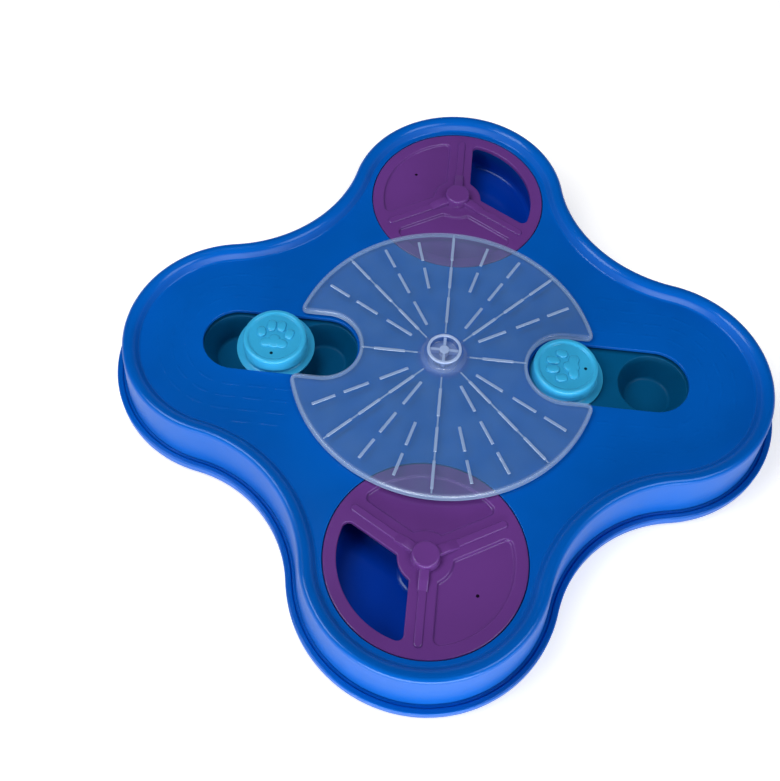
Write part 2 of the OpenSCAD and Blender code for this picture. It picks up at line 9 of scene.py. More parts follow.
import bmesh
import bpy
import numpy as np
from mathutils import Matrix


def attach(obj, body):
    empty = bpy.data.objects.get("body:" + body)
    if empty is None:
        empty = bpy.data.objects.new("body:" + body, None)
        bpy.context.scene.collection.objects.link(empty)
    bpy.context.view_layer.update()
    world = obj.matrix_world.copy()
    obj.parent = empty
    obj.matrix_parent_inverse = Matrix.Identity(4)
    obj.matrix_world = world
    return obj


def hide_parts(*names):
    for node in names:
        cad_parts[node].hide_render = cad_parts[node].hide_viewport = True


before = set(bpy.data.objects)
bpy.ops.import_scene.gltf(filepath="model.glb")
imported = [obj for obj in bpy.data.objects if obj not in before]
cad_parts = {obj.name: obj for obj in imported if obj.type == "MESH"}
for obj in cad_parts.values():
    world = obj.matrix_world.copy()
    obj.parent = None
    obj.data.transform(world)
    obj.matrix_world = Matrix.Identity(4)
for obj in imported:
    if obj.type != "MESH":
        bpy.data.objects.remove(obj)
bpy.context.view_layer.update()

bl_info = {
    "name": "Dog puzzle feeder toy",
    "version": (1, 0, 0),
    "blender": (4, 5, 0),
    "location": "View3D > Sidebar > Puzzle feeder",
    "description": "Builds the pieces, finishes and stage of a puzzle feeder for dogs",
    "category": "Add Mesh",
}

QUARTERS = (0, 90, 180, 270)
# Directions of a disc's three webs in degrees, and which of the panels after them is the open window.
WEBS = (-90, 30, 150)
WINDOW = 2

# Screws and what holds them, in millimetres: the hole that a screw bites into and the one that it passes, a
# boss's radius, the lower end of the long bosses and the top of their holes, the top of a tray's ears, and
# how far an ear stands from the slot's middle line and from a cup's axis.
PILOT_R = 1.56
PASS_R = 1.66
BOSS_R = 3.8
BOSS_FOOT = 5.5
BOSS_TOP = 11.2
EAR_TOP = 21.5
EAR_Y = 26.7
EAR_INSET = 7


# ---------------------------------------------------------------- sizes and colours

def length(name, mm, note):
    """A length that a user may change, given in millimetres and kept in metres."""
    return bpy.props.FloatProperty(name=name, description=note, default=mm / 1000, unit="LENGTH")


def share(name, value, note):
    """A number from 0 to 1."""
    return bpy.props.FloatProperty(name=name, description=note, default=value, min=0, max=1, subtype="FACTOR")


def linear(rgb):
    """Linear light from display values of 0 to 255."""
    c = np.asarray(rgb) / 255
    return tuple(np.where(c <= 0.04045, c / 12.92, ((c + 0.055) / 1.055) ** 2.4).tolist())


def colour(name, rgb, note):
    """A colour, given in display values of 0 to 255 and kept as linear light."""
    return bpy.props.FloatVectorProperty(
        name=name, description=note, default=linear(rgb), size=3, min=0, max=1, subtype="COLOR")


def power(name, watts, note):
    """The power of a lamp."""
    return bpy.props.FloatProperty(name=name, description=note, default=watts, subtype="POWER")


class FeederShell(bpy.types.PropertyGroup):
    """Sizes of the top shell, its wells and slots, and the bottom cover."""
    lobe_offset: length("Lobe offset", 105.7, "Distance from the middle to the centre of each lobe")
    lobe_r: length("Lobe radius", 58.1, "Radius of each lobe at the crest's outer edge")
    waist_r: length("Waist radius", 73.2, "Radius of the hollow waist between two lobes")
    deck_z: length("Deck height", 28.5, "Height of the flat deck above the floor")
    deck_t: length("Deck thickness", 2, "Thickness of the deck")
    rim_rise: length("Rim rise", 5, "Height of the rim's crest above the deck")
    crest_w: length("Crest width", 5.2, "Width of the rim's crest")
    slope_w: length("Slope width", 3.3, "Width of the slope from the crest to the deck")
    deck_edge: length("Deck edge", 1.8, "Width of the deck's edge strip at the foot of the slope")
    wall_t: length("Wall thickness", 2.2, "Thickness of the outer wall")
    wall_lean: length("Wall lean", 2.4, "How far the outer wall leans out at its foot")
    foot_z: length("Shell foot height", 3.9, "Height of the outer wall's lower edge")
    groove_w: length("Groove width", 1.4, "Width of the groove between the shell and the lip")
    lip_t: length("Lip thickness", 3.2, "Thickness of the lip round the shell's foot")
    lip_top: length("Lip height", 7, "Height of the lip's upper edge")
    groove_z: length("Groove floor height", 6.3, "Height of the floor of the groove inside the lip")
    plate_z: length("Plate height", 1.5, "Height of the bottom plate's underside")
    plate_t: length("Plate thickness", 2, "Thickness of the bottom plate")
    mouth_r: length("Well mouth radius", 47.4, "Radius of a well at the deck")
    cavity_r: length("Well radius", 44.5, "Radius of a well below its ledge")
    ledge_z: length("Ledge height", 25.45, "Height of the ledge that a disc's edge lies on")
    well_z: length("Well floor height", 8.5, "Height of a well's floor")
    post_r: length("Post radius", 8.6, "Radius of the post in a well")
    well_t: length("Well thickness", 1.8, "Thickness of a well's floor and wall")
    bearing_r: length("Bearing radius", 4.06, "Radius of the bearing hole in a post")
    bearing_z: length("Bearing foot height", 18.95, "Height of the lower end of a post's bearing hole")
    washer_r: length("Washer recess radius", 6.4, "Radius of the washer's recess under a post's bearing")
    boss_r: length("Boss radius", 9.7, "Radius of the centre boss")
    boss_z: length("Boss foot height", 17.45, "Height of the centre boss's lower end")
    boss_bore_r: length("Boss bearing radius", 5.06, "Radius of the bearing hole in the centre boss")
    boss_bearing_z: length("Boss bearing height", 21.5, "Height of the lower end of that bearing hole")
    boss_washer_r: length("Boss recess radius", 7.4, "Radius of the washer's recess in the centre boss")
    slot_inner: length("Slot start", 61, "Distance from the middle to the centre of a slot's inner end")
    slot_r: length("Slot half width", 17.5, "Half the width of a slot")
    streak_l: length("Streak length", 10.2, "Length of a raised streak on the deck")
    streak_gap: length("Streak gap", 3.4, "Gap between two streaks")
    streak_w: length("Streak width", 1.7, "Width of a streak")
    streak_h: length("Streak height", 0.06, "Height of a streak")


class FeederDisc(bpy.types.PropertyGroup):
    """Sizes of a turning disc."""
    disc_r: length("Disc radius", 47, "Radius of a turning disc")
    disc_t: length("Disc thickness", 2.8, "Thickness of a turning disc")
    window_r: length("Window radius", 40.8, "Outer radius of the window and the panels")
    web_w: length("Web width", 13, "Width of the webs between the panels")
    hub_r: length("Hub radius", 13, "Radius of the plate round the knob")
    corner_r: length("Outer corner radius", 3, "Radius of a panel's outer corners")
    inner_r: length("Inner corner radius", 1.6, "Radius of a panel's inner corners")
    panel_drop: length("Panel depth", 1.5, "Depth of the closed panels below the ring")
    rib_w: length("Rib width", 4, "Width of a rib")
    rib_h: length("Rib height", 0.8, "Height of a rib")
    rib_reach: length("Rib reach", 41.9, "Distance from the middle to a rib's end")
    root_w: length("Root width", 4.8, "Width of a rib's raised root")
    root_h: length("Root height", 2.2, "Height of a rib's raised root")
    root_reach: length("Root reach", 15.9, "Distance from the middle to the root's end")
    knob_r: length("Knob radius", 6.6, "Radius of the knob")
    knob_h: length("Knob height", 4.5, "Height of the knob")
    stem_r: length("Stem radius", 4, "Radius of the stem")
    stem_z: length("Stem end height", 18.7, "Height of the stem's lower end")


class FeederCover(bpy.types.PropertyGroup):
    """Sizes of the clear turning cover."""
    cover_r: length("Cover radius", 77.9, "Radius of the cover")
    cover_t: length("Cover thickness", 1.8, "Thickness of the cover")
    top_z: length("Cover height", 33, "Height of the cover's top")
    foot_z: length("Cover wall foot", 29.8, "Height of the lower edge of the cover's wall")
    lean: length("Wall lean", 0.35, "How far the cover's wall leans each way from its middle line")
    notch_r: length("Notch radius", 18.7, "Radius of the two notches")
    tip_r: length("Tip radius", 3, "Radius of the rounded tips beside a notch")
    hub_foot_r: length("Hub foot radius", 12.3, "Radius of the hub at its foot")
    hub_top_r: length("Hub radius", 8.5, "Radius of the hub's ring at its top")
    hub_bore_r: length("Hub bore radius", 7.2, "Inner radius of the hub's ring")
    hub_z: length("Hub height", 39.5, "Height of the hub's top")
    hub_floor: length("Hub floor height", 35, "Height of the floor inside the hub's ring")
    hub_post_r: length("Hub post radius", 2.6, "Radius of the post in the middle of the hub")
    dash_w: length("Dash width", 1.6, "Width of a dash")
    dash_h: length("Dash height", 0.5, "Height of a dash")
    spoke_w: length("Spoke width", 0.9, "Width of a thin spoke")
    collar_r: length("Collar radius", 8, "Radius of the collar that rides on the centre boss")
    collar_z: length("Collar height", 28.75, "Height of the collar's underside")
    stem_r: length("Stem radius", 5, "Radius of the cover's stem")
    stem_z: length("Stem end height", 21.25, "Height of the stem's lower end")


class FeederSlider(bpy.types.PropertyGroup):
    """Sizes of the sliders and of the cup trays under them."""
    slider_r: length("Slider radius", 16, "Radius of a slider's top")
    body_r: length("Body radius", 16.6, "Radius of a slider's body at its foot")
    flange_r: length("Flange radius", 20, "Radius of the flange under the deck")
    top_z: length("Slider height", 35.1, "Height of a slider's raised edge")
    face_drop: length("Face depth", 1, "Depth of the face inside the raised edge")
    paw_h: length("Paw print height", 1.15, "Height of the paw print's pads")
    left_x: length("Left slider place", 85.8, "Distance from the middle at which the left slider stands")
    strip_z: length("Strip height", 24.2, "Height of the strip round the cups")
    tray_t: length("Tray thickness", 1.8, "Thickness of a cup tray")
    rail_r: length("Rail radius", 20.5, "Half the width between the rails")
    cup_r: length("Cup radius", 17.1, "Radius of a cup's mouth")
    cup_floor_r: length("Cup floor radius", 11.5, "Radius of a cup's floor")
    cup_z: length("Cup floor height", 11.2, "Height of a cup's floor")
    rail_z: length("Rail height", 26.5, "Height of the rails' top")
    rail_t: length("Rail thickness", 1.8, "Thickness of a rail")


class FeederColours(bpy.types.PropertyGroup):
    """Colours and gloss of the finishes."""
    shell_blue: colour("Shell", (0, 90, 186), "Colour of the shell and the bottom cover")
    # Painted shade: a deeper blue for the depth of the wells, standing in for the shade and blue bounce light
    # there.
    well_painted_shade: colour("Wells", (0, 57, 173), "Colour of the shell in the depth of its wells")
    disc_purple: colour("Discs", (104, 57, 136), "Colour of the turning discs")
    slider_turquoise: colour("Sliders", (56, 172, 222), "Colour of the sliders")
    tray_teal: colour("Cup trays", (0, 84, 130), "Colour of the cup trays")
    cover_milk: colour("Clear cover", (122, 166, 208), "Tint of the clear cover")
    # Partly painted light: the hub's paler tint also lifts the shade in its cone.
    hub_tint_and_painted_light: colour("Cover hub", (132, 160, 214), "Tint of the clear cover's hub")
    # Painted light: a paler colour for the cover's edges, dashes and hub ring, standing in for light that the
    # clear plastic carries into them.
    cover_edge_painted_light: colour("Cover edges", (184, 206, 246), "Tint of the clear cover's edges and dashes")
    rubber_grey: colour("Feet", (38, 38, 41), "Colour of the rubber feet")
    steel_grey: colour("Steel", (176, 178, 182), "Colour of the plated screws and washers")
    gloss: share("Gloss", 0.86, "Gloss of the mouldings")
    cover_alpha: share("Cover opacity", 0.155, "How much the clear cover hides what lies under it")


def sizes(name):
    """The lengths of one of the scene's groups, in millimetres."""
    group = getattr(bpy.context.scene, "feeder_" + name)
    return SimpleNamespace(**{k: round(getattr(group, k) * 1000, 4) for k in type(group).__annotations__})


# ---------------------------------------------------------------- surfaces

def polar(angle, radius):
    """Flat points at polar angles in degrees."""
    a = np.radians(angle)
    return np.stack([np.cos(a) * radius, np.sin(a) * radius], -1)


def angle_of(points):
    """Polar angles in degrees."""
    return np.degrees(np.arctan2(points[..., 1], points[..., 0]))


def turned(points, angle, shift=(0, 0)):
    """Points turned about Z by an angle in degrees, then shifted in X and Y."""
    c, s = math.cos(math.radians(angle)), math.sin(math.radians(angle))
    out = np.array(points, float)
    out[..., 0] = points[..., 0] * c - points[..., 1] * s + shift[0]
    out[..., 1] = points[..., 0] * s + points[..., 1] * c + shift[1]
    return out


def rounded(corners, steps=4, hold=0.1):
    """A profile from rows of x, z and corner radius: each corner becomes an arc that touches both its sides,
    with a point a little before and after the arc that keeps the sides flat."""
    rows = np.asarray(corners, float)
    p, r = rows[:, :2], rows[:, 2]
    back = np.roll(p, 1, 0) - p
    ahead = np.roll(p, -1, 0) - p
    back /= np.linalg.norm(back, axis=1, keepdims=True)
    ahead /= np.linalg.norm(ahead, axis=1, keepdims=True)
    half = np.arccos(np.clip((back * ahead).sum(1), -1, 1)) / 2
    half = np.where(r > 0, half, 1.0)
    middle = back + ahead
    middle /= np.maximum(np.linalg.norm(middle, axis=1, keepdims=True), 1e-9)
    reach = (r / np.tan(half))[:, None]
    centre = p + middle * (r / np.sin(half))[:, None]
    start = p + back * reach - centre
    side = -np.sign(back[:, 0] * ahead[:, 1] - back[:, 1] * ahead[:, 0])
    a = (side * (np.pi - 2 * half))[:, None] * np.linspace(0, 1, steps + 1)
    x, z = start[:, :1], start[:, 1:]
    arc = centre[:, None] + np.stack([x * np.cos(a) - z * np.sin(a), x * np.sin(a) + z * np.cos(a)], -1)
    before, after = p + back * (reach + hold), p + ahead * (reach + hold)
    full = np.concatenate([before[:, None], arc, after[:, None]], 1)
    sharp = r == 0
    full[sharp] = p[sharp][:, None]
    keep = ~sharp[:, None] | (np.arange(steps + 3) == 0)
    return full[keep]


def lifted(flat, height):
    """A grid of flat points, put at a height or at a grid of heights."""
    return np.concatenate([flat, np.broadcast_to(height, flat.shape[:2] + (1,))], -1)


def carried(base, ahead, profile):
    """A profile carried along a path: base plus the profile's x times the path's normal, at the profile's
    height."""
    return lifted(base[None] + ahead[None] * profile[:, None, :1], profile[:, None, 1:])


def lathe(profile, centre=(0, 0), steps=96):
    """A profile of radius and height carried round an upright axis."""
    ahead = polar(np.arange(steps) * 360 / steps, 1.0)
    return carried(np.broadcast_to(np.asarray(centre, float), ahead.shape), ahead, profile)


def bar(a, b, profile, steps=16, square=0.0):
    """A profile of distance and height carried round a straight bar with round ends, from a to b. square,
    from 0 to 1, pushes the ends out towards the square round their circle."""
    a, b = np.asarray(a, float), np.asarray(b, float)
    heading = math.degrees(math.atan2(b[1] - a[1], b[0] - a[0]))
    half = np.linspace(-90, 90, steps + 1)
    reach = np.maximum(np.abs(np.cos(np.radians(half))), np.abs(np.sin(np.radians(half)))) ** -square
    ahead = polar(np.concatenate([heading + half, heading + 180 + half]), np.tile(reach, 2))
    return carried(np.repeat([b, a], steps + 1, axis=0), ahead, profile)


def block(half_width, low, high, edge, steps=3):
    """The profile of a solid bar: from the middle of its underside out, up and in over a rounded edge."""
    corners = [[0, low, 0], [half_width, low, 0], [half_width, high, edge], [0, high, 0]]
    return rounded(corners, steps, 0.05)


def ridge(steps, half_width, low, edge):
    """A straight bar along X whose height changes: steps are rows of X and height. Across, its top has
    rounded edges."""
    turn = np.radians(np.linspace(0, 90, 5))
    side = half_width - edge + edge * np.cos(turn)
    fall = edge - edge * np.sin(turn)
    y = np.concatenate([[half_width + 0.15], side, -side[::-1], [-half_width - 0.15]])
    fall = np.concatenate([[np.inf], fall, fall[::-1], [np.inf]])
    x, top = steps[:, :1] + 0 * y, np.maximum(steps[:, 1:] - fall, low)
    grid = np.stack([x, y + 0 * x, top], -1)
    ends = grid[[0, -1]].copy()
    ends[..., 1], ends[..., 2] = 0, low
    return np.concatenate([ends[:1], grid, ends[1:]])


def level(inner, outer, z):
    """A flat band between two paths of as many points, at one height."""
    return lifted(np.stack([inner, outer]), z)


class Skin:
    """A closed surface made of grids of points, in millimetres. Grids join where their points are equal."""

    def __init__(self):
        self.points = []
        self.faces = []
        self.count = 0

    def add(self, grid, ring=True):
        """Add a grid of rows and columns. ring joins the last column to the first."""
        rows, columns = grid.shape[:2]
        index = self.count + np.arange(rows * columns).reshape(rows, columns)
        if ring:
            index = np.hstack([index, index[:, :1]])
        corners = [index[:-1, :-1], index[:-1, 1:], index[1:, 1:], index[1:, :-1]]
        self.faces.append(np.stack(corners, -1).reshape(-1, 4))
        self.points.append(grid.reshape(-1, 3))
        self.count += rows * columns

    def mesh(self, name):
        """The mesh: equal points are merged, and faces that have shrunk to a line are left out."""
        points = np.concatenate(self.points) / 1000
        key = np.round(points, 7) + 0.0
        _, first, same = np.unique(key, axis=0, return_index=True, return_inverse=True)
        faces = same.reshape(-1)[np.concatenate(self.faces)]
        twice = faces == np.roll(faces, -1, axis=1)
        whole = faces[~twice.any(1)]
        whole = whole[(whole[:, 0] != whole[:, 2]) & (whole[:, 1] != whole[:, 3])]
        cut = faces[twice.sum(1) == 1]
        threes = cut[~(cut == np.roll(cut, -1, axis=1))].reshape(-1, 3)
        threes = threes[(threes != np.roll(threes, -1, axis=1)).all(1)]
        mesh = bpy.data.meshes.new(name)
        mesh.from_pydata(points[first].tolist(), [], whole.tolist() + threes.tolist())
        shape = bmesh.new()
        shape.from_mesh(mesh)
        loose = [v for v in shape.verts if not v.link_faces]
        bmesh.ops.delete(shape, geom=loose, context="VERTS")
        bmesh.ops.recalc_face_normals(shape, faces=shape.faces)
        open_edges = sum(len(e.link_faces) != 2 for e in shape.edges)
        shape.to_mesh(mesh)
        shape.free()
        if open_edges:
            raise RuntimeError(f"{name} isn't closed: {open_edges} open edges")
        mesh.shade_smooth()
        mesh.set_sharp_from_angle(angle=math.radians(36))
        return mesh


def put(name, skin, material, body, slot, *nodes):
    """Make a piece of a skin: it rides on its body and stands for its nodes."""
    mesh = skin.mesh(name)
    mesh.materials.append(material)
    made = bpy.data.objects.new(name, mesh)
    bpy.context.scene.collection.objects.link(made)
    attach(made, body)
    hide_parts(*nodes)
    return made


# ---------------------------------------------------------------- rays, holes and the outline

def ray_on_circle(angle, centre_x, radius, sign):
    """Where a ray at a polar angle meets a circle centred on X, on its near (-1) or far (1) side."""
    a = np.radians(angle)
    left = np.maximum(radius ** 2 - (centre_x * np.sin(a)) ** 2, 0)
    return centre_x * np.cos(a) + sign * np.sqrt(left)


class Rays:
    """Rays from the middle that meet the edges of holes evenly. A hole is a bar with round ends on a line
    through the middle: its line's angle, the distances of its ends' centres and its radius. Between two holes
    the rays are evenly spread, and near and far edges run together there, straight in polar coordinates."""

    def __init__(self, holes, steps, gap):
        theta, hole, part = [], [], []
        middle, ahead = [], []
        spans = [math.degrees(math.asin(r / x0)) for _, x0, _, r in holes]
        for i, (axis, x0, x1, r) in enumerate(holes):
            beta = np.radians(np.linspace(-90, 90, steps[i] + 1))
            a = np.degrees(np.arcsin(np.clip(r / x0 * np.sin(beta), -1, 1)))
            near = polar(a, ray_on_circle(a, x0, r, -1))
            far_in = polar(a, ray_on_circle(a, x0, r, 1))
            side = polar(a, r / np.maximum(np.abs(np.sin(np.radians(a))), 1e-6))
            far_out = polar(a, ray_on_circle(a, x1, r, 1))
            far = np.where(side[:, :1] <= x1, side, far_out)
            far = np.where(far_in[:, :1] <= x0 + 1e-9, far_in, far)
            both = np.stack([near, far])
            on_line = np.stack([np.clip(both[..., 0], x0, x1), np.zeros(both.shape[:2])], -1)
            middle.append(turned(on_line, axis))
            ahead.append(turned((both - on_line) / r, axis))
            theta.append(axis + a)
            hole.append(np.full(len(a), i))
            part.append(np.zeros(len(a)))
            following = holes[(i + 1) % len(holes)][0] + (360 if i + 1 == len(holes) else 0)
            free = following - spans[(i + 1) % len(holes)] - axis - spans[i]
            inside = np.linspace(0, 1, max(int(free / gap), 2) + 1)[1:-1]
            theta.append(axis + spans[i] + free * inside)
            hole.append(np.full(len(inside), -1))
            part.append(inside)
            middle.append(np.zeros((2, len(inside), 2)))
            ahead.append(np.zeros((2, len(inside), 2)))
        self.theta = np.concatenate(theta)
        self.hole = np.concatenate(hole)
        self.part = np.concatenate(part)
        self.middle = np.concatenate(middle, 1)
        self.ahead = np.concatenate(ahead, 1)
        self.between = np.flatnonzero(self.hole < 0)
        at = np.flatnonzero(self.hole >= 0)
        place = np.searchsorted(at, self.between)
        self.before = at[place - 1]
        self.after = at[place % len(at)]

    def edges(self, radii):
        """The near and the far edge of all holes, as two closed paths, with each hole at the radius given."""
        r = np.asarray(radii, float)[self.hole][None, :, None]
        edge = self.middle + self.ahead * r
        a, d = angle_of(edge), np.hypot(edge[..., 0], edge[..., 1])
        start = a[:, self.before]
        turn = (a[:, self.after] - start) % 360
        part = self.part[self.between]
        reach = d[:, self.before] * (1 - part) + d[:, self.after] * part
        edge[:, self.between] = polar(start + turn * part, reach)
        return edge

    def wall(self, i, profile):
        """A profile carried round hole i: its x is the distance from the hole's middle line."""
        at = np.flatnonzero(self.hole == i)
        base = np.concatenate([self.middle[0, at], self.middle[1, at[::-1]]])
        ahead = np.concatenate([self.ahead[0, at], self.ahead[1, at[::-1]]])
        return carried(base, ahead, profile)


def waist_middle(s):
    """X and Y of the middle of a waist's arc, so far out that it touches the lobes' arcs."""
    reach = s.lobe_r + s.waist_r
    return (s.lobe_offset + math.sqrt(2 * reach ** 2 - s.lobe_offset ** 2)) / 2


def screw_places(s):
    """Polar angles and distances of the eight housing screws: two in each slot lobe, one in each waist."""
    lobe_inset, waist_inset, from_axis = 8.41, 21, math.radians(44)
    reach = s.lobe_r - lobe_inset
    x, y = s.lobe_offset + reach * math.cos(from_axis), reach * math.sin(from_axis)
    turn, lobe = math.degrees(math.atan2(y, x)), math.hypot(x, y)
    waist = waist_middle(s) * math.sqrt(2) - s.waist_r - waist_inset
    in_lobes = [(angle, lobe) for angle in (turn, 180 - turn, 180 + turn, 360 - turn)]
    return in_lobes + [(q + 45, waist) for q in QUARTERS]


def outline(theta, grow, s):
    """Where rays meet the four-lobed outline grown by grow. Each quarter is a lobe's arc about a point on its
    axis and, past the point where the two touch, the waist's arc about a point on the diagonal. Returns
    points on the outline itself and their outward normals."""
    waist_c = waist_middle(s)
    touch = math.atan2(waist_c, waist_c - s.lobe_offset)
    lobe, waist = s.lobe_r + grow, s.waist_r - grow
    quarter = np.round(theta / 90) * 90
    fold = theta - quarter
    t = np.abs(fold)
    edge = math.degrees(math.atan2(lobe * math.sin(touch), s.lobe_offset + lobe * math.cos(touch)))
    on_lobe = polar(t, ray_on_circle(t, s.lobe_offset, lobe, 1))
    on_waist = polar(t, ray_on_circle(45 - t, waist_c * math.sqrt(2), waist, -1))
    is_lobe = (t < edge)[:, None]
    point = np.where(is_lobe, on_lobe, on_waist)
    normal = np.where(is_lobe, (on_lobe - [s.lobe_offset, 0]) / lobe, (waist_c - on_waist) / waist)
    base = point - grow * normal
    flip = np.stack([np.ones_like(t), np.where(fold < 0, -1.0, 1.0)], -1)
    c, q = np.cos(np.radians(quarter)), np.sin(np.radians(quarter))
    out = []
    for flat in (base * flip, normal * flip):
        out.append(np.stack([flat[:, 0] * c - flat[:, 1] * q, flat[:, 0] * q + flat[:, 1] * c], -1))
    return out


# ---------------------------------------------------------------- finishes

def arithmetic(operation, swapped=False):
    """A method that adds a Math node for two numbers, or for the same two the other way round."""
    def method(self, other=0.0):
        return self.kit.math(operation, other, self) if swapped else self.kit.math(operation, self, other)
    return method


class Value:
    """A number in a material. Arithmetic on it adds Math nodes."""

    def __init__(self, kit, node, socket):
        self.kit = kit
        self.node = node
        self.socket = socket

    def out(self, name):
        """Another output of the same node."""
        return Value(self.kit, self.node, self.node.outputs[name])

    __add__ = arithmetic("ADD")
    __radd__ = arithmetic("ADD", swapped=True)
    __sub__ = arithmetic("SUBTRACT")
    __rsub__ = arithmetic("SUBTRACT", swapped=True)
    __mul__ = arithmetic("MULTIPLY")
    __rmul__ = arithmetic("MULTIPLY", swapped=True)
    __pow__ = arithmetic("POWER")
    __abs__ = arithmetic("ABSOLUTE")

    def step(self, low, high):
        """0 below low, 1 above high and a smooth rise between."""
        ranged = {"interpolation_type": "SMOOTHSTEP"}
        return self.kit.node("ShaderNodeMapRange", ranged, {"Value": self, "From Min": low, "From Max": high})


class Kit:
    """The nodes of one material."""

    def __init__(self, owner, place="Object"):
        self.material = bpy.data.materials.new(owner) if isinstance(owner, str) else owner
        self.material.use_nodes = True
        self.tree = self.material.node_tree
        self.tree.nodes.clear()
        self.place = self.node("ShaderNodeTexCoord", out=place)

    def node(self, kind, settings=None, sockets=None, out=0):
        """A node of a type, with its settings set first and then the values or links of its sockets."""
        made = self.tree.nodes.new(kind)
        for key, value in (settings or {}).items():
            setattr(made, key, value)
        for key, value in (sockets or {}).items():
            if isinstance(value, Value):
                self.tree.links.new(value.socket, made.inputs[key])
            else:
                made.inputs[key].default_value = value
        return Value(self, made, None if out is None else made.outputs[out])

    def noise(self, scale, detail=2.0, rough=0.5, stretch=(1, 1, 1)):
        """Noise of that many features a metre, stretched along the axes."""
        spot = self.node("ShaderNodeMapping", None, {"Vector": self.place, "Scale": stretch})
        sockets = {"Vector": spot, "Scale": scale, "Detail": detail, "Roughness": rough}
        return self.node("ShaderNodeTexNoise", None, sockets)

    def blend(self, factor, first, second):
        """Two colours mixed by a factor."""
        sockets = {0: factor, 6: first, 7: second}
        return self.node("ShaderNodeMix", {"data_type": "RGBA"}, sockets, 2)

    def surface(self, **sockets):
        """The Principled surface with its constants and links, as the material's output."""
        named = {k.replace("_", " "): v for k, v in sockets.items()}
        return self.finish(self.node("ShaderNodeBsdfPrincipled", None, named))

    def finish(self, shader, kind="ShaderNodeOutputMaterial"):
        """Link a shader to the output and return the material."""
        self.node(kind, None, {"Surface": shader}, None)
        return self.material

    def math(self, operation, first, second=0.0):
        """One Math node."""
        return self.node("ShaderNodeMath", {"operation": operation}, {0: first, 1: second})

    def most(self, first, *others):
        """The largest of some numbers."""
        for other in others:
            first = self.math("MAXIMUM", first, other)
        return first

    def spot(self):
        """X, Y and Z of the point on the surface, in millimetres."""
        x = self.node("ShaderNodeSeparateXYZ", None, {0: self.place}, "X")
        return x * 1000, x.out("Y") * 1000, x.out("Z") * 1000

    def bump(self, strength, distance, height):
        """A bump of a grain's height, with its distance in metres."""
        sockets = {"Strength": strength, "Distance": distance, "Height": height}
        return self.node("ShaderNodeBump", None, sockets)


def shade(rgb, factor):
    """A colour with its light scaled, with an alpha of one."""
    return tuple(min(c * factor, 1.0) for c in rgb) + (1.0,)


def moulded(name, rgb, gloss, grain=0.04, specular=0.5, matt=0.0, mark=None, well=None):
    """Moulded plastic: a faint cloudiness of the pigment, an eroded grain of about half a millimetre and fine
    scuffs in the gloss. matt takes gloss from upright faces. mark is the X and Y of a small dark gate mark.
    well is a painted shade for the depth of the two wells: a deeper colour that stands in for the shade
    there, with the sizes of the shell."""
    kit = Kit(name)
    x, y, z = kit.spot()
    base = kit.blend(kit.noise(24, 3).step(0.3, 0.7), shade(rgb, 0.94), shade(rgb, 1.05))
    scuff = kit.noise(60, 4, 0.6, (1, 2, 1.4)).step(0.5, 0.8)
    fine = kit.noise(1900, 2)
    rough = (1 - gloss) + scuff * 0.012 + fine * 0.04
    if matt:
        facing = kit.node("ShaderNodeNewGeometry", out="Normal")
        upward = kit.node("ShaderNodeSeparateXYZ", None, {0: facing}, "Z")
        rough = rough + (1 - upward.step(0.35, 0.85)) * matt
    if mark:
        mark_r = 0.85
        from_mark = ((x - mark[0]) ** 2 + (y - mark[1]) ** 2) ** 0.5
        base = kit.blend(1 - from_mark.step(mark_r * 0.75, mark_r * 1.15), base, shade(rgb, 0.06))
    # Painted shade: inside the wells, between the floor and the ledge, the colour turns to a deeper blue that
    # stands in for the shade there.
    if well:
        well_shade_rgb, s = well
        reach = (x ** 2 + (abs(y) - s.lobe_offset) ** 2) ** 0.5
        over_floor = z.step(s.well_z - 1.2, s.well_z - 0.6)
        depth = over_floor * (1 - z.step(s.ledge_z - 12, s.ledge_z))
        inside = 1 - reach.step(s.cavity_r, s.cavity_r + 0.6)
        base = kit.blend(inside * depth, base, shade(well_shade_rgb, 1.0))
    bump = kit.bump(grain, 0.0006, fine * 0.5 + kit.noise(620, 2) * 0.5)
    return kit.surface(Base_Color=base, Roughness=rough, Normal=bump, IOR=1.49, Specular_IOR_Level=specular,
                       Specular_Tint=(0.72, 0.88, 1.0, 1.0))


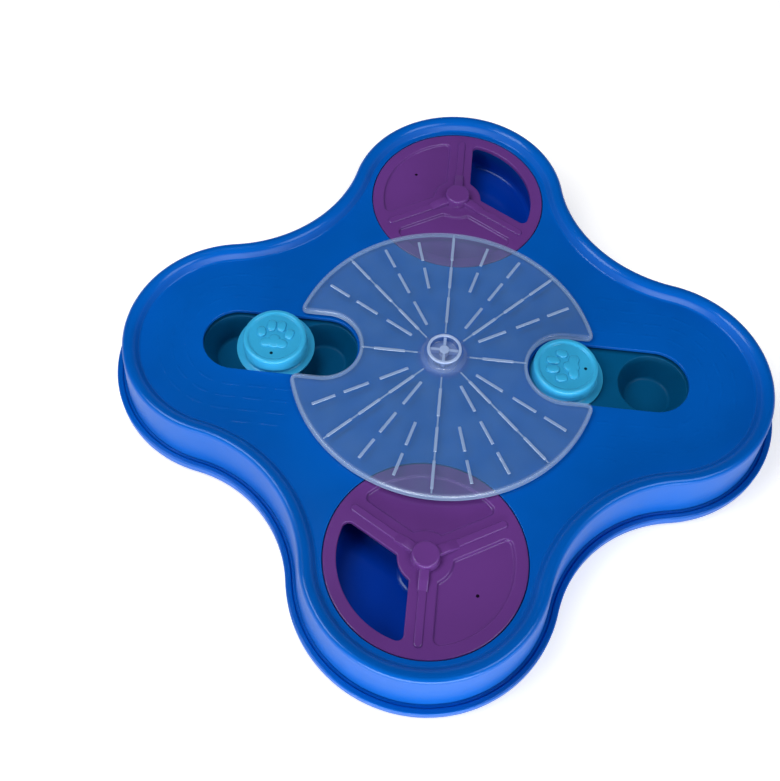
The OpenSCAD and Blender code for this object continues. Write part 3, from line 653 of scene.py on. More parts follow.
def clear_plastic(name, c, s, slot_inner):
    """Clear plastic: a thin milky film over what lies behind it. Its edges, raised dashes and the hub's ring,
    cross and post are painted paler: a painted light that stands in for the light the clear plastic carries
    into them. The hub's paler tint is partly painted light too, and the hub, bore and stem are less clear.
    They are found by height and by the distance from the outer edge and from the notches, whose middles lie
    on X at slot_inner and beyond."""
    kit = Kit(name)
    x, y, z = kit.spot()
    under = s.top_z - s.cover_t
    clouds = kit.noise(60, 3).step(0.3, 0.7)
    reach = (x ** 2 + y ** 2) ** 0.5
    from_notch = (kit.most(slot_inner - abs(x), 0) ** 2 + y ** 2) ** 0.5
    rim = kit.most(reach.step(s.cover_r - 2.4, s.cover_r - 1.2),
                   1 - from_notch.step(s.notch_r + 1.1, s.notch_r + 2.2))
    out = reach.step(s.hub_foot_r + 0.5, s.hub_foot_r + 0.9)
    dash = z.step(s.top_z + 0.1, s.top_z + 0.3) * out
    ring = z.step(s.hub_z - 1.2, s.hub_z - 0.4)
    hub = z.step(s.top_z + 0.2, s.top_z + 0.9) * (1 - out)
    stem = 1 - z.step(under - 0.7, under - 0.3)
    bore = 1 - reach.step(s.hub_bore_r - 0.2, s.hub_bore_r)
    on_axis = kit.math("MINIMUM", abs(x), abs(y))
    cross = (1 - on_axis.step(0.6, 0.9)) * z.step(s.hub_floor + 0.3, s.hub_floor + 0.8) * bore
    post = 1 - reach.step(s.hub_post_r - 0.2, s.hub_post_r + 0.1)
    # Painted light: the edges, dashes, hub ring, cross and post get a paler colour that stands in for light
    # the clear plastic carries.
    pale = kit.most(dash * 0.8, ring, rim * 0.55, kit.most(cross, post) * 0.6)
    base = kit.blend(clouds, shade(c.cover_milk, 0.93), shade(c.cover_milk, 1.06))
    # Partly painted light: the hub takes a paler tint that also lifts the shade in its cone.
    base = kit.blend(1 - out, base, shade(c.hub_tint_and_painted_light, 1.0))
    base = kit.blend(pale, base, shade(c.cover_edge_painted_light, 1.0))
    film = (clouds * 0.12 + 0.94) * c.cover_alpha + dash * 0.46 + ring * 0.45 + rim * 0.16 + hub * 0.2
    film = film + bore * 0.3 + cross * 0.25 + post * 0.15 + stem * 0.3
    fine = kit.noise(1500, 2)
    return kit.surface(Base_Color=base, Roughness=fine * 0.08 + 0.16, Alpha=film, IOR=1.49,
                       Normal=kit.bump(0.015, 0.0004, fine), Specular_IOR_Level=1.0,
                       Coat_Weight=0.8, Coat_Roughness=0.2, Coat_IOR=1.6)


def rubber(name, rgb):
    """Matt rubber with a fine pitted grain and patches of dust."""
    kit = Kit(name)
    pits = kit.noise(700, 3, 0.6)
    dust = kit.noise(120, 4).step(0.5, 0.75)
    base = kit.blend(dust, shade(rgb, 0.9), shade(rgb, 1.9))
    bump = kit.bump(0.35, 0.0005, pits)
    return kit.surface(Base_Color=base, Roughness=0.74 + pits * 0.15, Normal=bump, IOR=1.5)


def plated_steel(name, rgb):
    """Plated steel: turned rings of fine lines and a few duller spots."""
    kit = Kit(name)
    lines = kit.noise(2600, 2, 0.5, (1, 1, 6))
    spots = kit.noise(240, 3).step(0.55, 0.8)
    base = kit.blend(spots, shade(rgb, 1.0), shade(rgb, 0.72))
    rough = 0.24 + spots * 0.2 + lines * 0.1
    return kit.surface(Base_Color=base, Metallic=1.0, Roughness=rough, Normal=kit.bump(0.12, 0.0003, lines))


def finish(name):
    """A finish by name, made when it is first used."""
    known = bpy.data.materials.get(name)
    if known:
        return known
    c = bpy.context.scene.feeder_colours
    shell, slider, cover = sizes("shell"), sizes("slider"), sizes("cover")
    disc_y = shell.lobe_offset
    marks = {"front_disc": (24.8, -disc_y - 14.9), "back_disc": (-24.2, disc_y + 15.7),
             "right_slider": (70.7, -0.3), "left_slider": (-slider.left_x - 0.3, -9.7)}
    mark = marks.get(name.removesuffix("_plastic"))
    if name == "shell_plastic":
        # The wells get a painted shade: a deeper blue below the ledge.
        return moulded(name, c.shell_blue, c.gloss, specular=0.4, matt=0.3, well=(c.well_painted_shade, shell))
    if name == "tray_plastic":
        return moulded(name, c.tray_teal, c.gloss - 0.25, specular=0.2)
    if "disc" in name:
        return moulded(name, c.disc_purple, c.gloss - 0.04, 0.05, 0.55, mark=mark)
    if "slider" in name:
        return moulded(name, c.slider_turquoise, c.gloss - 0.02, 0.025, mark=mark)
    if name == "cover_plastic":
        return clear_plastic(name, c, cover, shell.slot_inner)
    if name == "foot_rubber":
        return rubber(name, c.rubber_grey)
    return plated_steel(name, c.steel_grey)


# ---------------------------------------------------------------- pieces

def streaks(skin, s):
    """Low streaks on the deck, in rings round each slot's outer end. A streak is a low arched bar: across it
    the height is a parabola, along it width and height close in an ellipse, and its middle line runs on the
    ring. A ring too near the rim for its arc has streaks along the slot's sides alone."""
    rings, first, stagger = (26.5, 33.5, 40.3, 46.8), 11, 1.5
    run = s.lobe_offset - s.slot_inner
    along = np.sin(np.radians(np.linspace(-90, 90, 9)))
    swell = (1 - along ** 4) ** 0.5
    across = np.array([-1, -0.6, 0, 0.6, 1, 0.5, -0.5])
    arch = np.array([0, 0.64, 1, 0.64, 0, -0.6, -0.6])
    pitch = s.streak_l + s.streak_gap
    for ring, reach in enumerate(rings):
        turn = 2 * run + math.pi * reach
        last = reach > s.lobe_r - s.crest_w - s.slope_w - 6
        whole = run - 2 if last else turn - first
        starts = first + ring * stagger + np.arange(int((whole - first) / pitch)) * pitch
        if last:
            starts = np.concatenate([starts, turn - starts - s.streak_l])
        for start in starts:
            path = start + s.streak_l * (along + 1) / 2
            x = s.slot_inner + np.clip(path, 0, run) - np.clip(path - run - math.pi * reach, 0, run)
            angle = 90 - np.clip(np.degrees((path - run) / reach), 0, 180)
            side = across[None] * (swell * s.streak_w / 2)[:, None]
            high = arch[None] * (swell * s.streak_h)[:, None]
            out = polar(angle, 1.0)[:, None] * (reach + side)[..., None]
            grid = lifted(out + np.stack([x, 0 * x], -1)[:, None], s.deck_z + high[..., None])
            for half in (0, 180):
                skin.add(turned(grid, half))


def well_profile(s):
    """From the deck into a well: mouth, ledge, wall, floor, post and bore, and back up on the outside."""
    foot_r = s.cavity_r - 0.8
    under = s.well_z - s.well_t
    collar_r = s.mouth_r + 1.3
    return rounded([
        [s.mouth_r + 0.3, s.deck_z, 0], [s.mouth_r, s.deck_z, 0.2], [s.mouth_r, s.ledge_z, 0.3],
        [s.cavity_r, s.ledge_z, 0.5], [foot_r, s.well_z, 3], [s.post_r + 0.3, s.well_z, 4],
        [s.post_r, s.ledge_z, 0.4], [s.bearing_r, s.ledge_z, 0.3], [s.bearing_r, s.bearing_z, 0],
        [s.washer_r, s.bearing_z, 0], [s.washer_r, under, 0], [foot_r + s.well_t, under, 4],
        [s.cavity_r + s.well_t, s.ledge_z - 4, 1], [collar_r, s.ledge_z - 1.6, 0.5],
        [collar_r, s.deck_z - s.deck_t, 0]], 4)


def rim_profile(s):
    """From the deck over the raised rim, down the outer wall and up its inside. x is measured from the
    outline."""
    inset = s.crest_w + s.slope_w
    top = s.deck_z + s.rim_rise
    return rounded([
        [-inset - s.deck_edge, s.deck_z, 0], [-inset + 0.3, s.deck_z, 1.6], [-s.crest_w, top, 4.9],
        [0, top, 2.45], [s.wall_lean, s.foot_z, 0.5], [s.wall_lean - s.wall_t, s.foot_z, 0.4],
        [-s.wall_t - 0.3, top - s.wall_t, 0.8], [-s.crest_w, top - s.wall_t, 0.8],
        [-inset + 0.4, s.deck_z - s.deck_t, 0]], 8)


class FEEDER_OT_shell(bpy.types.Operator):
    """Build the top shell with its rim, wells, slots and bosses"""
    bl_idname = "feeder.shell"
    bl_label = "Top shell"

    def execute(self, context):
        s = sizes("shell")
        under = s.deck_z - s.deck_t
        slot_r, mouth_r = s.slot_r + 0.5, s.mouth_r + 0.3
        holes = [(0, s.slot_inner, s.lobe_offset, slot_r), (90, s.lobe_offset, s.lobe_offset, mouth_r)]
        holes += [(a + 180, x0, x1, r) for a, x0, x1, r in holes]
        rays = Rays(holes, [80, 104, 80, 104], 0.8)
        slope = s.crest_w + s.slope_w
        inset = slope + s.deck_edge
        base, ahead = outline(rays.theta, -inset, s)
        spokes = polar(rays.theta, 1.0)
        bore_r = s.boss_bore_r + 1.44
        near, far = rays.edges([slot_r, mouth_r] * 2)
        skin = Skin()
        skin.add(level(spokes * bore_r, near, s.deck_z))
        skin.add(level(far, base - ahead * inset, s.deck_z))
        skin.add(carried(base, ahead, rim_profile(s)))
        near, far = rays.edges([s.slot_r, s.mouth_r + 1.3] * 2)
        skin.add(level(spokes * s.boss_r, near, under))
        skin.add(level(far, base + ahead * (0.4 - slope), under))
        slot = rounded([[slot_r, s.deck_z, 0], [s.slot_r, s.deck_z, 0.4], [s.slot_r, under, 0]], 4)
        for i in (0, 2):
            skin.add(rays.wall(i, slot))
            skin.add(rays.wall(i + 1, well_profile(s)))
        bore = rounded([
            [bore_r, s.deck_z, 0], [s.boss_bore_r, s.deck_z, 0.3], [s.boss_bore_r, s.boss_bearing_z, 0],
            [s.boss_washer_r, s.boss_bearing_z, 0], [s.boss_washer_r, s.boss_z, 0], [s.boss_r, s.boss_z, 0],
            [s.boss_r, under, 0]], 3)
        skin.add(carried(np.zeros_like(spokes), spokes, bore))
        centre = (0, -s.lobe_offset)
        wall = block(0.8, s.well_z - 0.6, s.ledge_z - 0.5, 0.35)
        for web in WEBS:
            a, b = polar(np.array([web, web]), np.array([s.post_r - 0.4, s.cavity_r + 0.3]))
            for half in (0, 180):
                skin.add(turned(turned(bar(a, b, wall, 6), 0, centre), half))
        root = under + 0.4
        boss = rounded([[BOSS_R, root, 0], [BOSS_R, BOSS_FOOT, 0.3], [PILOT_R, BOSS_FOOT, 0.2],
                        [PILOT_R, BOSS_TOP, 0], [0, BOSS_TOP, 0]], 2)
        for angle, reach in screw_places(s):
            skin.add(lathe(np.concatenate([[[0, root]], boss]), polar(angle, reach), 20))
        pilot_end = 26
        short = np.array([[0, root], [BOSS_R, root], [BOSS_R, EAR_TOP], [PILOT_R, EAR_TOP],
                          [PILOT_R, pilot_end], [0, pilot_end]])
        for sx, sy in ((1, 1), (-1, 1), (-1, -1), (1, -1)):
            for x in (s.slot_inner + EAR_INSET, s.lobe_offset - EAR_INSET):
                skin.add(lathe(short, (sx * x, sy * EAR_Y), 20))
        streaks(skin, s)
        put("shell", skin, finish("shell_plastic"), "base", "shell", "top_shell")
        return {"FINISHED"}


class FEEDER_OT_bottom(bpy.types.Operator):
    """Build the bottom cover: the plate with its lip, screw holes and foot seats"""
    bl_idname = "feeder.bottom"
    bl_label = "Bottom cover"

    def execute(self, context):
        s = sizes("shell")
        top = s.plate_z + s.plate_t
        seat, pad, foot, ease = 3.2, 5.1, 8.1, 0.6
        foot_reach, foot_z, head_z = 134, 2.3, 3.9
        holes = [(a, d, d, pad + ease) for a, d in screw_places(s)]
        holes += [(q, foot_reach, foot_reach, foot + ease + 0.1) for q in QUARTERS]
        holes.sort()
        is_screw = [r < foot for _, _, _, r in holes]
        rays = Rays(holes, [24 if screw else 40 for screw in is_screw], 0.9)
        lip_in = s.wall_lean + s.groove_w
        lip_out = lip_in + s.lip_t
        inside = s.wall_lean - 0.2
        base, ahead = outline(rays.theta, lip_out - 1.6, s)
        zero = np.zeros_like(base)
        skin = Skin()
        near, far = rays.edges([seat + ease if screw else foot + 0.7 for screw in is_screw])
        skin.add(level(zero, near, s.plate_z))
        skin.add(level(far, base + ahead * (lip_out - 1.6), s.plate_z))
        lip = rounded([[lip_out - 1.6, s.plate_z, 0], [lip_out, s.plate_z, 0.7], [lip_out, s.lip_top, 0.9],
                       [lip_in, s.lip_top, 0.9], [lip_in, s.groove_z, 0.4], [inside, s.groove_z, 0.2],
                       [inside, top, 0.3], [inside - 1.0, top, 0]], 5)
        skin.add(carried(base, ahead, lip))
        near, far = rays.edges([pad + ease if screw else foot for screw in is_screw])
        over_foot = np.isin(rays.hole, np.flatnonzero(~np.array(is_screw)))
        near[over_foot] = far[over_foot] = ((near + far) / 2)[over_foot]
        skin.add(level(zero, near, top))
        skin.add(level(far, base + ahead * (inside - 1.0), top))
        screw_hole = [[seat + ease, s.plate_z, 0], [seat, s.plate_z, 0.3], [seat, head_z, 0.2],
                      [PASS_R, head_z, 0], [PASS_R, BOSS_FOOT, 0], [pad, BOSS_FOOT, 0.4], [pad, top, 0.3],
                      [pad + ease, top, 0]]
        foot_seat = [[foot + 0.7, s.plate_z, 0], [foot, s.plate_z, 0.3], [foot, foot_z, 0.2], [0, foot_z, 0]]
        for i, screw in enumerate(is_screw):
            skin.add(rays.wall(i, rounded(screw_hole if screw else foot_seat, 3, 0.05)))
        put("bottom", skin, finish("shell_plastic"), "base", "shell", "bottom_cover")
        return {"FINISHED"}


def panel_half(s):
    """Half of a disc's third, from the middle of a web to the middle of a panel. Rays from the disc's middle
    meet the panel's near edge (corner circle, web line, inner corner circle, hub circle) and its far edge
    (corner circle, then the window's circle). Returns for both the points and their normals away from the
    opening, and which rays meet it."""
    y = s.web_w / 2
    outer = np.array([math.sqrt((s.window_r - s.corner_r) ** 2 - (y + s.corner_r) ** 2), y + s.corner_r])
    inner = np.array([math.sqrt((s.hub_r + s.inner_r) ** 2 - (y + s.inner_r) ** 2), y + s.inner_r])
    out_a, in_a = angle_of(outer), angle_of(inner)
    out_d, in_d = np.hypot(*outer), np.hypot(*inner)
    first = out_a - math.degrees(math.asin(s.corner_r / out_d))
    on_web = np.linspace(0, first, 4)[:-1]
    g = np.concatenate([on_web, first + (60 - first) * np.linspace(0, 1, 61) ** 2])
    inside = np.arange(len(g)) >= len(on_web)

    def circle(a, d, r, sign, middle):
        """Where the rays meet a circle whose middle is at angle a and distance d, and its normals there."""
        p = polar(g, ray_on_circle(g - a, d, r, sign))
        return p, (p - middle) / r

    corner_near, corner_near_n = circle(out_a, out_d, s.corner_r, -1, outer)
    corner_far, corner_far_n = circle(out_a, out_d, s.corner_r, 1, outer)
    nook, nook_n = circle(in_a, in_d, s.inner_r, -1, inner)
    line = polar(g, y / np.maximum(np.sin(np.radians(g)), 1e-3))
    g = g[:, None]
    spoke = polar(g[:, 0], 1.0)
    line_n = np.broadcast_to([0.0, -1.0], line.shape)
    on_corner = g < math.degrees(math.atan2(y, outer[0]))
    on_line = g < math.degrees(math.atan2(y, inner[0]))
    near = np.select([on_corner, on_line, g < in_a], [corner_near, line, nook], spoke * s.hub_r)
    near_n = np.select([on_corner, on_line, g < in_a], [corner_near_n, line_n, nook_n], -spoke)
    far = np.where(g < out_a, corner_far, spoke * s.window_r)
    far_n = np.where(g < out_a, corner_far_n, spoke)
    web = spoke * math.sqrt(out_d ** 2 - s.corner_r ** 2)
    for points, normals in ((near, near_n), (far, far_n)):
        points[~inside] = web[~inside]
        normals[~inside] = 0
    return near, near_n, far, far_n, inside


def thirds(half, only=None):
    """A path round the disc from that of half a third, or round one panel alone if only is its number."""
    webs = WEBS if only is None else WEBS[only:only + 1]
    mirrored = half[::-1] * [1, -1]
    return np.concatenate([turned(path, a) for w in webs for path, a in ((half, w), (mirrored, w + 120))])


def disc_skin(s, deck_z):
    """A turning disc about the middle: ring, webs, two closed panels, one window, ribs, knob and stem."""
    under, floor_z = deck_z - s.disc_t, deck_z - s.panel_drop
    hole_top, collar_r, ring_r = under + 1.4, s.stem_r + 0.6, s.disc_r - 1
    edge, dip = 0.8, 1.2
    near, near_n, far, far_n, inside = panel_half(s)
    spokes = thirds(polar(angle_of(near), 1.0))
    zero = np.zeros_like(spokes)
    skin = Skin()
    skin.add(level(zero, thirds(near + near_n * edge), deck_z))
    skin.add(level(thirds(far + far_n * edge), spokes * ring_r, deck_z))
    rim = rounded([[ring_r, deck_z, 0], [s.disc_r, deck_z, 0.6], [s.disc_r, under, 0.4], [ring_r, under, 0]])
    skin.add(carried(zero, spokes, rim))
    low_near = thirds(polar(angle_of(near), np.hypot(*near[0])))
    low_far = low_near.copy()
    open_part = slice(WINDOW * 2 * len(near), (WINDOW + 1) * 2 * len(near))
    low_near[open_part] = thirds(near + near_n * edge, WINDOW)
    low_far[open_part] = thirds(far + far_n * edge, WINDOW)
    stem = rounded([[0, hole_top, 0], [PILOT_R, hole_top, 0], [PILOT_R, s.stem_z, 0],
                    [s.stem_r, s.stem_z, 0.3], [s.stem_r, under, 0.2], [collar_r, under, 0]], 3)
    skin.add(carried(zero, spokes, stem))
    skin.add(level(spokes * collar_r, low_near, under))
    skin.add(level(low_far, spokes * ring_r, under))
    for i in range(len(WEBS)):
        loop = np.concatenate([thirds(near[inside], i), thirds(far[inside], i)[::-1]])
        loop_n = np.concatenate([thirds(near_n[inside], i), thirds(far_n[inside], i)[::-1]])
        if i == WINDOW:
            wall = rounded([[edge, deck_z, 0], [0, deck_z, 0.55], [0, under, 0.4], [edge, under, 0]])
            skin.add(carried(loop, loop_n, wall))
        else:
            wall = rounded([[edge, deck_z, 0], [0.1, deck_z, 0.85], [-0.35, floor_z, 0.95],
                            [-dip, floor_z, 0]], 5, 0.05)
            skin.add(carried(loop, loop_n, wall))
            skin.add(level(thirds(near[inside] - near_n[inside] * dip, i),
                           thirds(far[inside] - far_n[inside] * dip, i), floor_z), ring=False)
    low, rib_z, root_z = deck_z - 0.3, deck_z + s.rib_h, deck_z + s.root_h
    rib = bar((0, 0), (s.rib_reach - s.rib_w / 2, 0), block(s.rib_w / 2, low, rib_z, 0.6), 10)
    bend = s.root_reach - 4
    steps = [(0, root_z), (bend - 0.5, root_z), (bend, root_z - 0.15), (s.root_reach - 0.3, rib_z + 0.15),
             (s.root_reach + 0.4, rib_z - 0.05), (s.root_reach + 0.5, low)]
    root = ridge(np.array(steps), s.root_w / 2, low, 0.55)
    for w in WEBS:
        skin.add(turned(rib, w))
        skin.add(turned(root, w))
    foot, top = deck_z - 0.4, deck_z + s.knob_h
    knob = rounded([[0, foot, 0], [s.knob_r + 0.7, foot, 0], [s.knob_r + 0.1, deck_z + 1.4, 1.5],
                    [s.knob_r - 0.1, top, 1.0], [0, top, 0]], 6)
    skin.add(lathe(knob, steps=64))
    return skin


class FEEDER_OT_discs(bpy.types.Operator):
    """Build the two turning discs"""
    bl_idname = "feeder.discs"
    bl_label = "Turning discs"

    def execute(self, context):
        shell = sizes("shell")
        s = sizes("disc")
        for name, angle in (("front_disc", 0), ("back_disc", 180)):
            skin = disc_skin(s, shell.deck_z)
            skin.points = [turned(turned(p, 0, (0, -shell.lobe_offset)), angle) for p in skin.points]
            put(name + "_plate", skin, finish(name + "_plastic"), name, "disc", name)
        return {"FINISHED"}


def cover_quarter(s, slot_inner):
    """A quarter of the cover's edge. Rays from the middle meet the notch's round end, and near its tips also
    the notch's side and the rounded tip, then the cover's circle. Returns the rays' angles, the near, far and
    outer points with their outward normals, the first ray on the tip and the first past the notch."""
    tip = np.array([math.sqrt((s.cover_r - s.tip_r) ** 2 - (s.notch_r + s.tip_r) ** 2), s.notch_r + s.tip_r])
    tip_a, tip_d = float(angle_of(tip)), float(np.hypot(*tip))
    tip_t = tip_a - math.degrees(math.asin(s.tip_r / tip_d))
    cap_t = math.degrees(math.asin(s.notch_r / slot_inner))
    ratio = math.sin(math.radians(tip_t)) / math.sin(math.radians(cap_t))
    beta = np.linspace(0, math.asin(ratio), 25)
    first = np.degrees(np.arcsin(math.sin(math.radians(cap_t)) * np.sin(beta)))
    second = tip_t + (cap_t - tip_t) * (1 - np.cos(np.linspace(0, np.pi, 37))) / 2
    third = np.linspace(cap_t, 90, 81)
    t = np.concatenate([first[:-1], second, third[1:]])
    tip_i, cap_i = len(first) - 1, len(first) + len(second) - 2
    cap = np.array([slot_inner, 0.0])
    near = polar(t, ray_on_circle(t, slot_inner, s.notch_r, -1))
    near_n = (cap - near) / s.notch_r
    tip_near = polar(t, ray_on_circle(t - tip_a, tip_d, s.tip_r, -1))
    side = polar(t, s.notch_r / np.maximum(np.sin(np.radians(t)), 1e-3))
    cap_far = polar(t, ray_on_circle(t, slot_inner, s.notch_r, 1))
    g = t[:, None]
    on_tip = g < math.degrees(math.atan2(s.notch_r, tip[0]))
    on_side = g < math.degrees(math.atan2(s.notch_r, slot_inner))
    side_n = np.broadcast_to([0.0, -1.0], side.shape)
    far = np.select([on_tip, on_side], [tip_near, side], cap_far)
    far_n = np.select([on_tip, on_side], [(tip_near - tip) / s.tip_r, side_n], (cap - cap_far) / s.notch_r)
    tip_far = polar(t, ray_on_circle(t - tip_a, tip_d, s.tip_r, 1))
    outer = np.where(g < tip_a, tip_far, polar(t, s.cover_r))
    outer_n = np.where(g < tip_a, (tip_far - tip) / s.tip_r, polar(t, 1.0))
    return t, (near, near_n), (far, far_n), (outer, outer_n), tip_i, cap_i


def four_ways(path):
    """A closed path from that of its first quarter."""
    back = path[::-1]
    return np.concatenate([path, back * [-1, 1], -path, back * [1, -1]])


class FEEDER_OT_cover(bpy.types.Operator):
    """Build the clear turning cover with its notches, dashes, spokes and hub"""
    bl_idname = "feeder.cover"
    bl_label = "Clear cover"

    def execute(self, context):
        shell = sizes("shell")
        s = sizes("cover")
        t, near, far, outer, tip_i, cap_i = cover_quarter(s, shell.slot_inner)
        spokes = four_ways(polar(t, 1.0))
        zero = np.zeros_like(spokes)
        under = s.top_z - s.cover_t
        rim_in, low_in = 2.4, 2.8
        hub_edge, collar_edge = s.hub_foot_r + 1.1, s.collar_r + 1
        skin = Skin()

        def plate(inset, hub, z):
            """The flat face at one height, inset from the edge, outside the hub."""
            at_cap = near[0][cap_i] - near[1][cap_i] * inset
            part = np.clip((t - t[cap_i]) / (90 - t[cap_i]), 0, 1)
            run = polar(angle_of(at_cap) + (90 - angle_of(at_cap)) * part, np.hypot(*at_cap))
            past = (np.arange(len(t)) >= cap_i)[:, None]
            inner = np.where(past, run, near[0] - near[1] * inset)
            skin.add(level(spokes * hub, four_ways(inner), z))
            start = np.where(past, run, far[0] - far[1] * inset)[tip_i:]
            end = (outer[0] - outer[1] * inset)[tip_i:]
            strip = [np.concatenate([path, path[::-1] * [-1, 1]]) for path in (start, end)]
            skin.add(level(*strip, z), ring=False)
            skin.add(level(-strip[0], -strip[1], z), ring=False)

        plate(rim_in, hub_edge, s.top_z)
        plate(low_in, collar_edge, under)
        path, normal = [np.concatenate([near[i][:cap_i + 1], far[i][tip_i:cap_i][::-1], outer[i][tip_i + 1:]])
                        for i in (0, 1)]
        edge = rounded([
            [-rim_in, s.top_z, 0], [-s.lean, s.top_z, 0.9], [s.lean, s.foot_z, 0.5],
            [s.lean - 1.5, s.foot_z, 0.4], [-s.lean - s.cover_t, under, 0.5], [-low_in, under, 0]], 4, 0.06)
        skin.add(carried(four_ways(path), four_ways(normal), edge))
        hub = rounded([
            [hub_edge, s.top_z, 0], [s.hub_foot_r, s.top_z, 0.6], [s.hub_top_r + 1.3, s.hub_floor, 1.6],
            [s.hub_top_r, s.hub_z, 0.4], [s.hub_bore_r, s.hub_z, 0.3], [s.hub_bore_r, s.hub_floor, 0.5],
            [0, s.hub_floor, 0]], 5)
        skin.add(carried(zero, spokes, hub))
        hole_top = under - 0.5
        stem = rounded([
            [collar_edge, under, 0], [s.collar_r, under, 0.3], [s.collar_r, s.collar_z, 0.3],
            [s.stem_r, s.collar_z, 0.3], [s.stem_r, s.stem_z, 0.3], [PILOT_R, s.stem_z, 0],
            [PILOT_R, hole_top, 0], [0, hole_top, 0]], 3)
        skin.add(carried(zero, spokes, stem))
        root = s.hub_floor - 0.2
        cross = block(0.8, root, s.hub_z - 1.2, 0.3)
        arm = s.hub_bore_r + 0.2
        for angle in (0, 90):
            skin.add(turned(bar((-arm, 0), (arm, 0), cross, 6), angle))
        skin.add(lathe(block(s.hub_post_r, root, s.hub_z - 0.8, 0.6), steps=32))
        root = s.top_z - 0.05
        dash = block(s.dash_w / 2, root, s.top_z + s.dash_h, 0.35)
        thin = block(s.spoke_w / 2, root, s.top_z + 0.25, 0.1)
        rings = ((19.5, 35.2), (41, 54.5), (59, 71.5))
        for angle in range(0, 360, 15):
            from_slots = min(angle % 180, 180 - angle % 180)
            full = angle % 45 == 0 and from_slots > 0
            chosen = {0: rings[:1], 15: (), 75: rings[1:]}.get(from_slots, rings)
            for r0, r1 in chosen:
                r1 += 2.5 if full and r0 == rings[2][0] else 0
                a, b = (r0 + s.dash_w / 2, 0), (r1 - s.dash_w / 2, 0)
                skin.add(turned(bar(a, b, dash, 8, 0.85), angle))
            if full or from_slots == 0:
                end = s.cover_r - 2.2 if full else shell.slot_inner - s.notch_r - 1.2
                skin.add(turned(bar((s.hub_foot_r - 0.4, 0), (end, 0), thin, 4), angle))
        put("clear_plate", skin, finish("cover_plastic"), "cover", "cover", "clear_cover")
        return {"FINISHED"}


# A paw print in millimetres: the toes' X, Y, half length and turn, and the circles that make up the heel.
TOES = ((-7.1, 2.2, 3.15, 13), (-2.55, 6.4, 3.5, 2), (2.55, 6.4, 3.5, -2), (7.1, 2.2, 3.15, -13))
TOE_HALF_WIDTH = 2.4
HEEL = ((0, 1.8, 3.0), (0, -0.3, 3.2), (-4.5, -0.7, 2.75), (4.5, -0.7, 2.75))
HEEL_Y = -3.2


def pad(edge, z, high, shoulder):
    """A cushion of a paw print inside a closed edge that goes round the middle: its side rises steeply and
    its top is softly domed. Each row is the edge drawn in to a share of its size, at a share of the height,
    and shoulder is the share where the side becomes the top."""
    ease = np.array([0.0, 1.0, 1.0, 0.93, shoulder, 0.6, 0.3, 0.0])
    rise = np.array([-0.4, -0.4, 0.0, 0.55, 0.8, 0.93, 0.99, 1.0])
    return lifted(edge[None] * ease[:, None, None], (z + rise * high)[:, None, None])


def toe_edge(half_length):
    """The edge of a toe: an oval a little squarer than an ellipse."""
    a = np.radians(np.arange(32) * 360 / 32)
    squared = (np.abs(np.cos(a)) ** 2.6 + np.abs(np.sin(a)) ** 2.6) ** (-1 / 2.6)
    return np.stack([np.cos(a) * squared * TOE_HALF_WIDTH, np.sin(a) * squared * half_length], -1)


def heel_edge():
    """The edge of the heel: its radius from a middle is that of its circles together, smoothed round the
    circle."""
    angle = np.arange(96) * 360 / 96
    reach = np.zeros(96)
    for x, y, r in HEEL:
        d, a = math.hypot(x, y), math.degrees(math.atan2(y, x))
        inside = r ** 2 - (d * np.sin(np.radians(angle - a))) ** 2
        hit = d * np.cos(np.radians(angle - a)) + np.sqrt(np.maximum(inside, 0))
        reach = np.maximum(reach, np.where(inside > 0, hit, 0))
    weight = np.exp(-(np.minimum(angle, 360 - angle) / 9) ** 2)
    return polar(angle, np.real(np.fft.ifft(np.fft.fft(reach) * np.fft.fft(weight / weight.sum()))))


class FEEDER_OT_sliders(bpy.types.Operator):
    """Build the two sliders with their paw prints"""
    bl_idname = "feeder.sliders"
    bl_label = "Sliders"

    def execute(self, context):
        shell = sizes("shell")
        s = sizes("slider")
        face = s.top_z - s.face_drop
        foot, wall = 24.45, 1.8
        profile = rounded([
            [0, face, 0], [s.slider_r - 3.0, face, 0.9], [s.slider_r - 2.0, s.top_z, 1.0],
            [s.slider_r, s.top_z, 1.25], [s.body_r, foot + wall, 1.0], [s.flange_r, foot + 1.2, 0.4],
            [s.flange_r, foot, 0.3], [s.flange_r - 2, foot, 0.2], [s.body_r - wall, foot + 1.4, 0.4],
            [s.slider_r - wall, face - wall, 1.2], [0, face - wall, 0]], 5, 0.06)
        for name, x, angle in (("right_slider", shell.slot_inner, 90), ("left_slider", -s.left_x, 0)):
            skin = Skin()
            skin.add(lathe(profile, steps=120))
            for toe_x, toe_y, half_length, turn in TOES:
                skin.add(turned(pad(toe_edge(half_length), face, s.paw_h, 0.84), turn, (toe_x, toe_y)))
            skin.add(turned(pad(heel_edge(), face, s.paw_h, 0.85), 0, (0, HEEL_Y)))
            skin.points = [turned(p, angle, (x, 0)) for p in skin.points]
            put(name + "_button", skin, finish(name + "_plastic"), name, "slider", name)
        return {"FINISHED"}


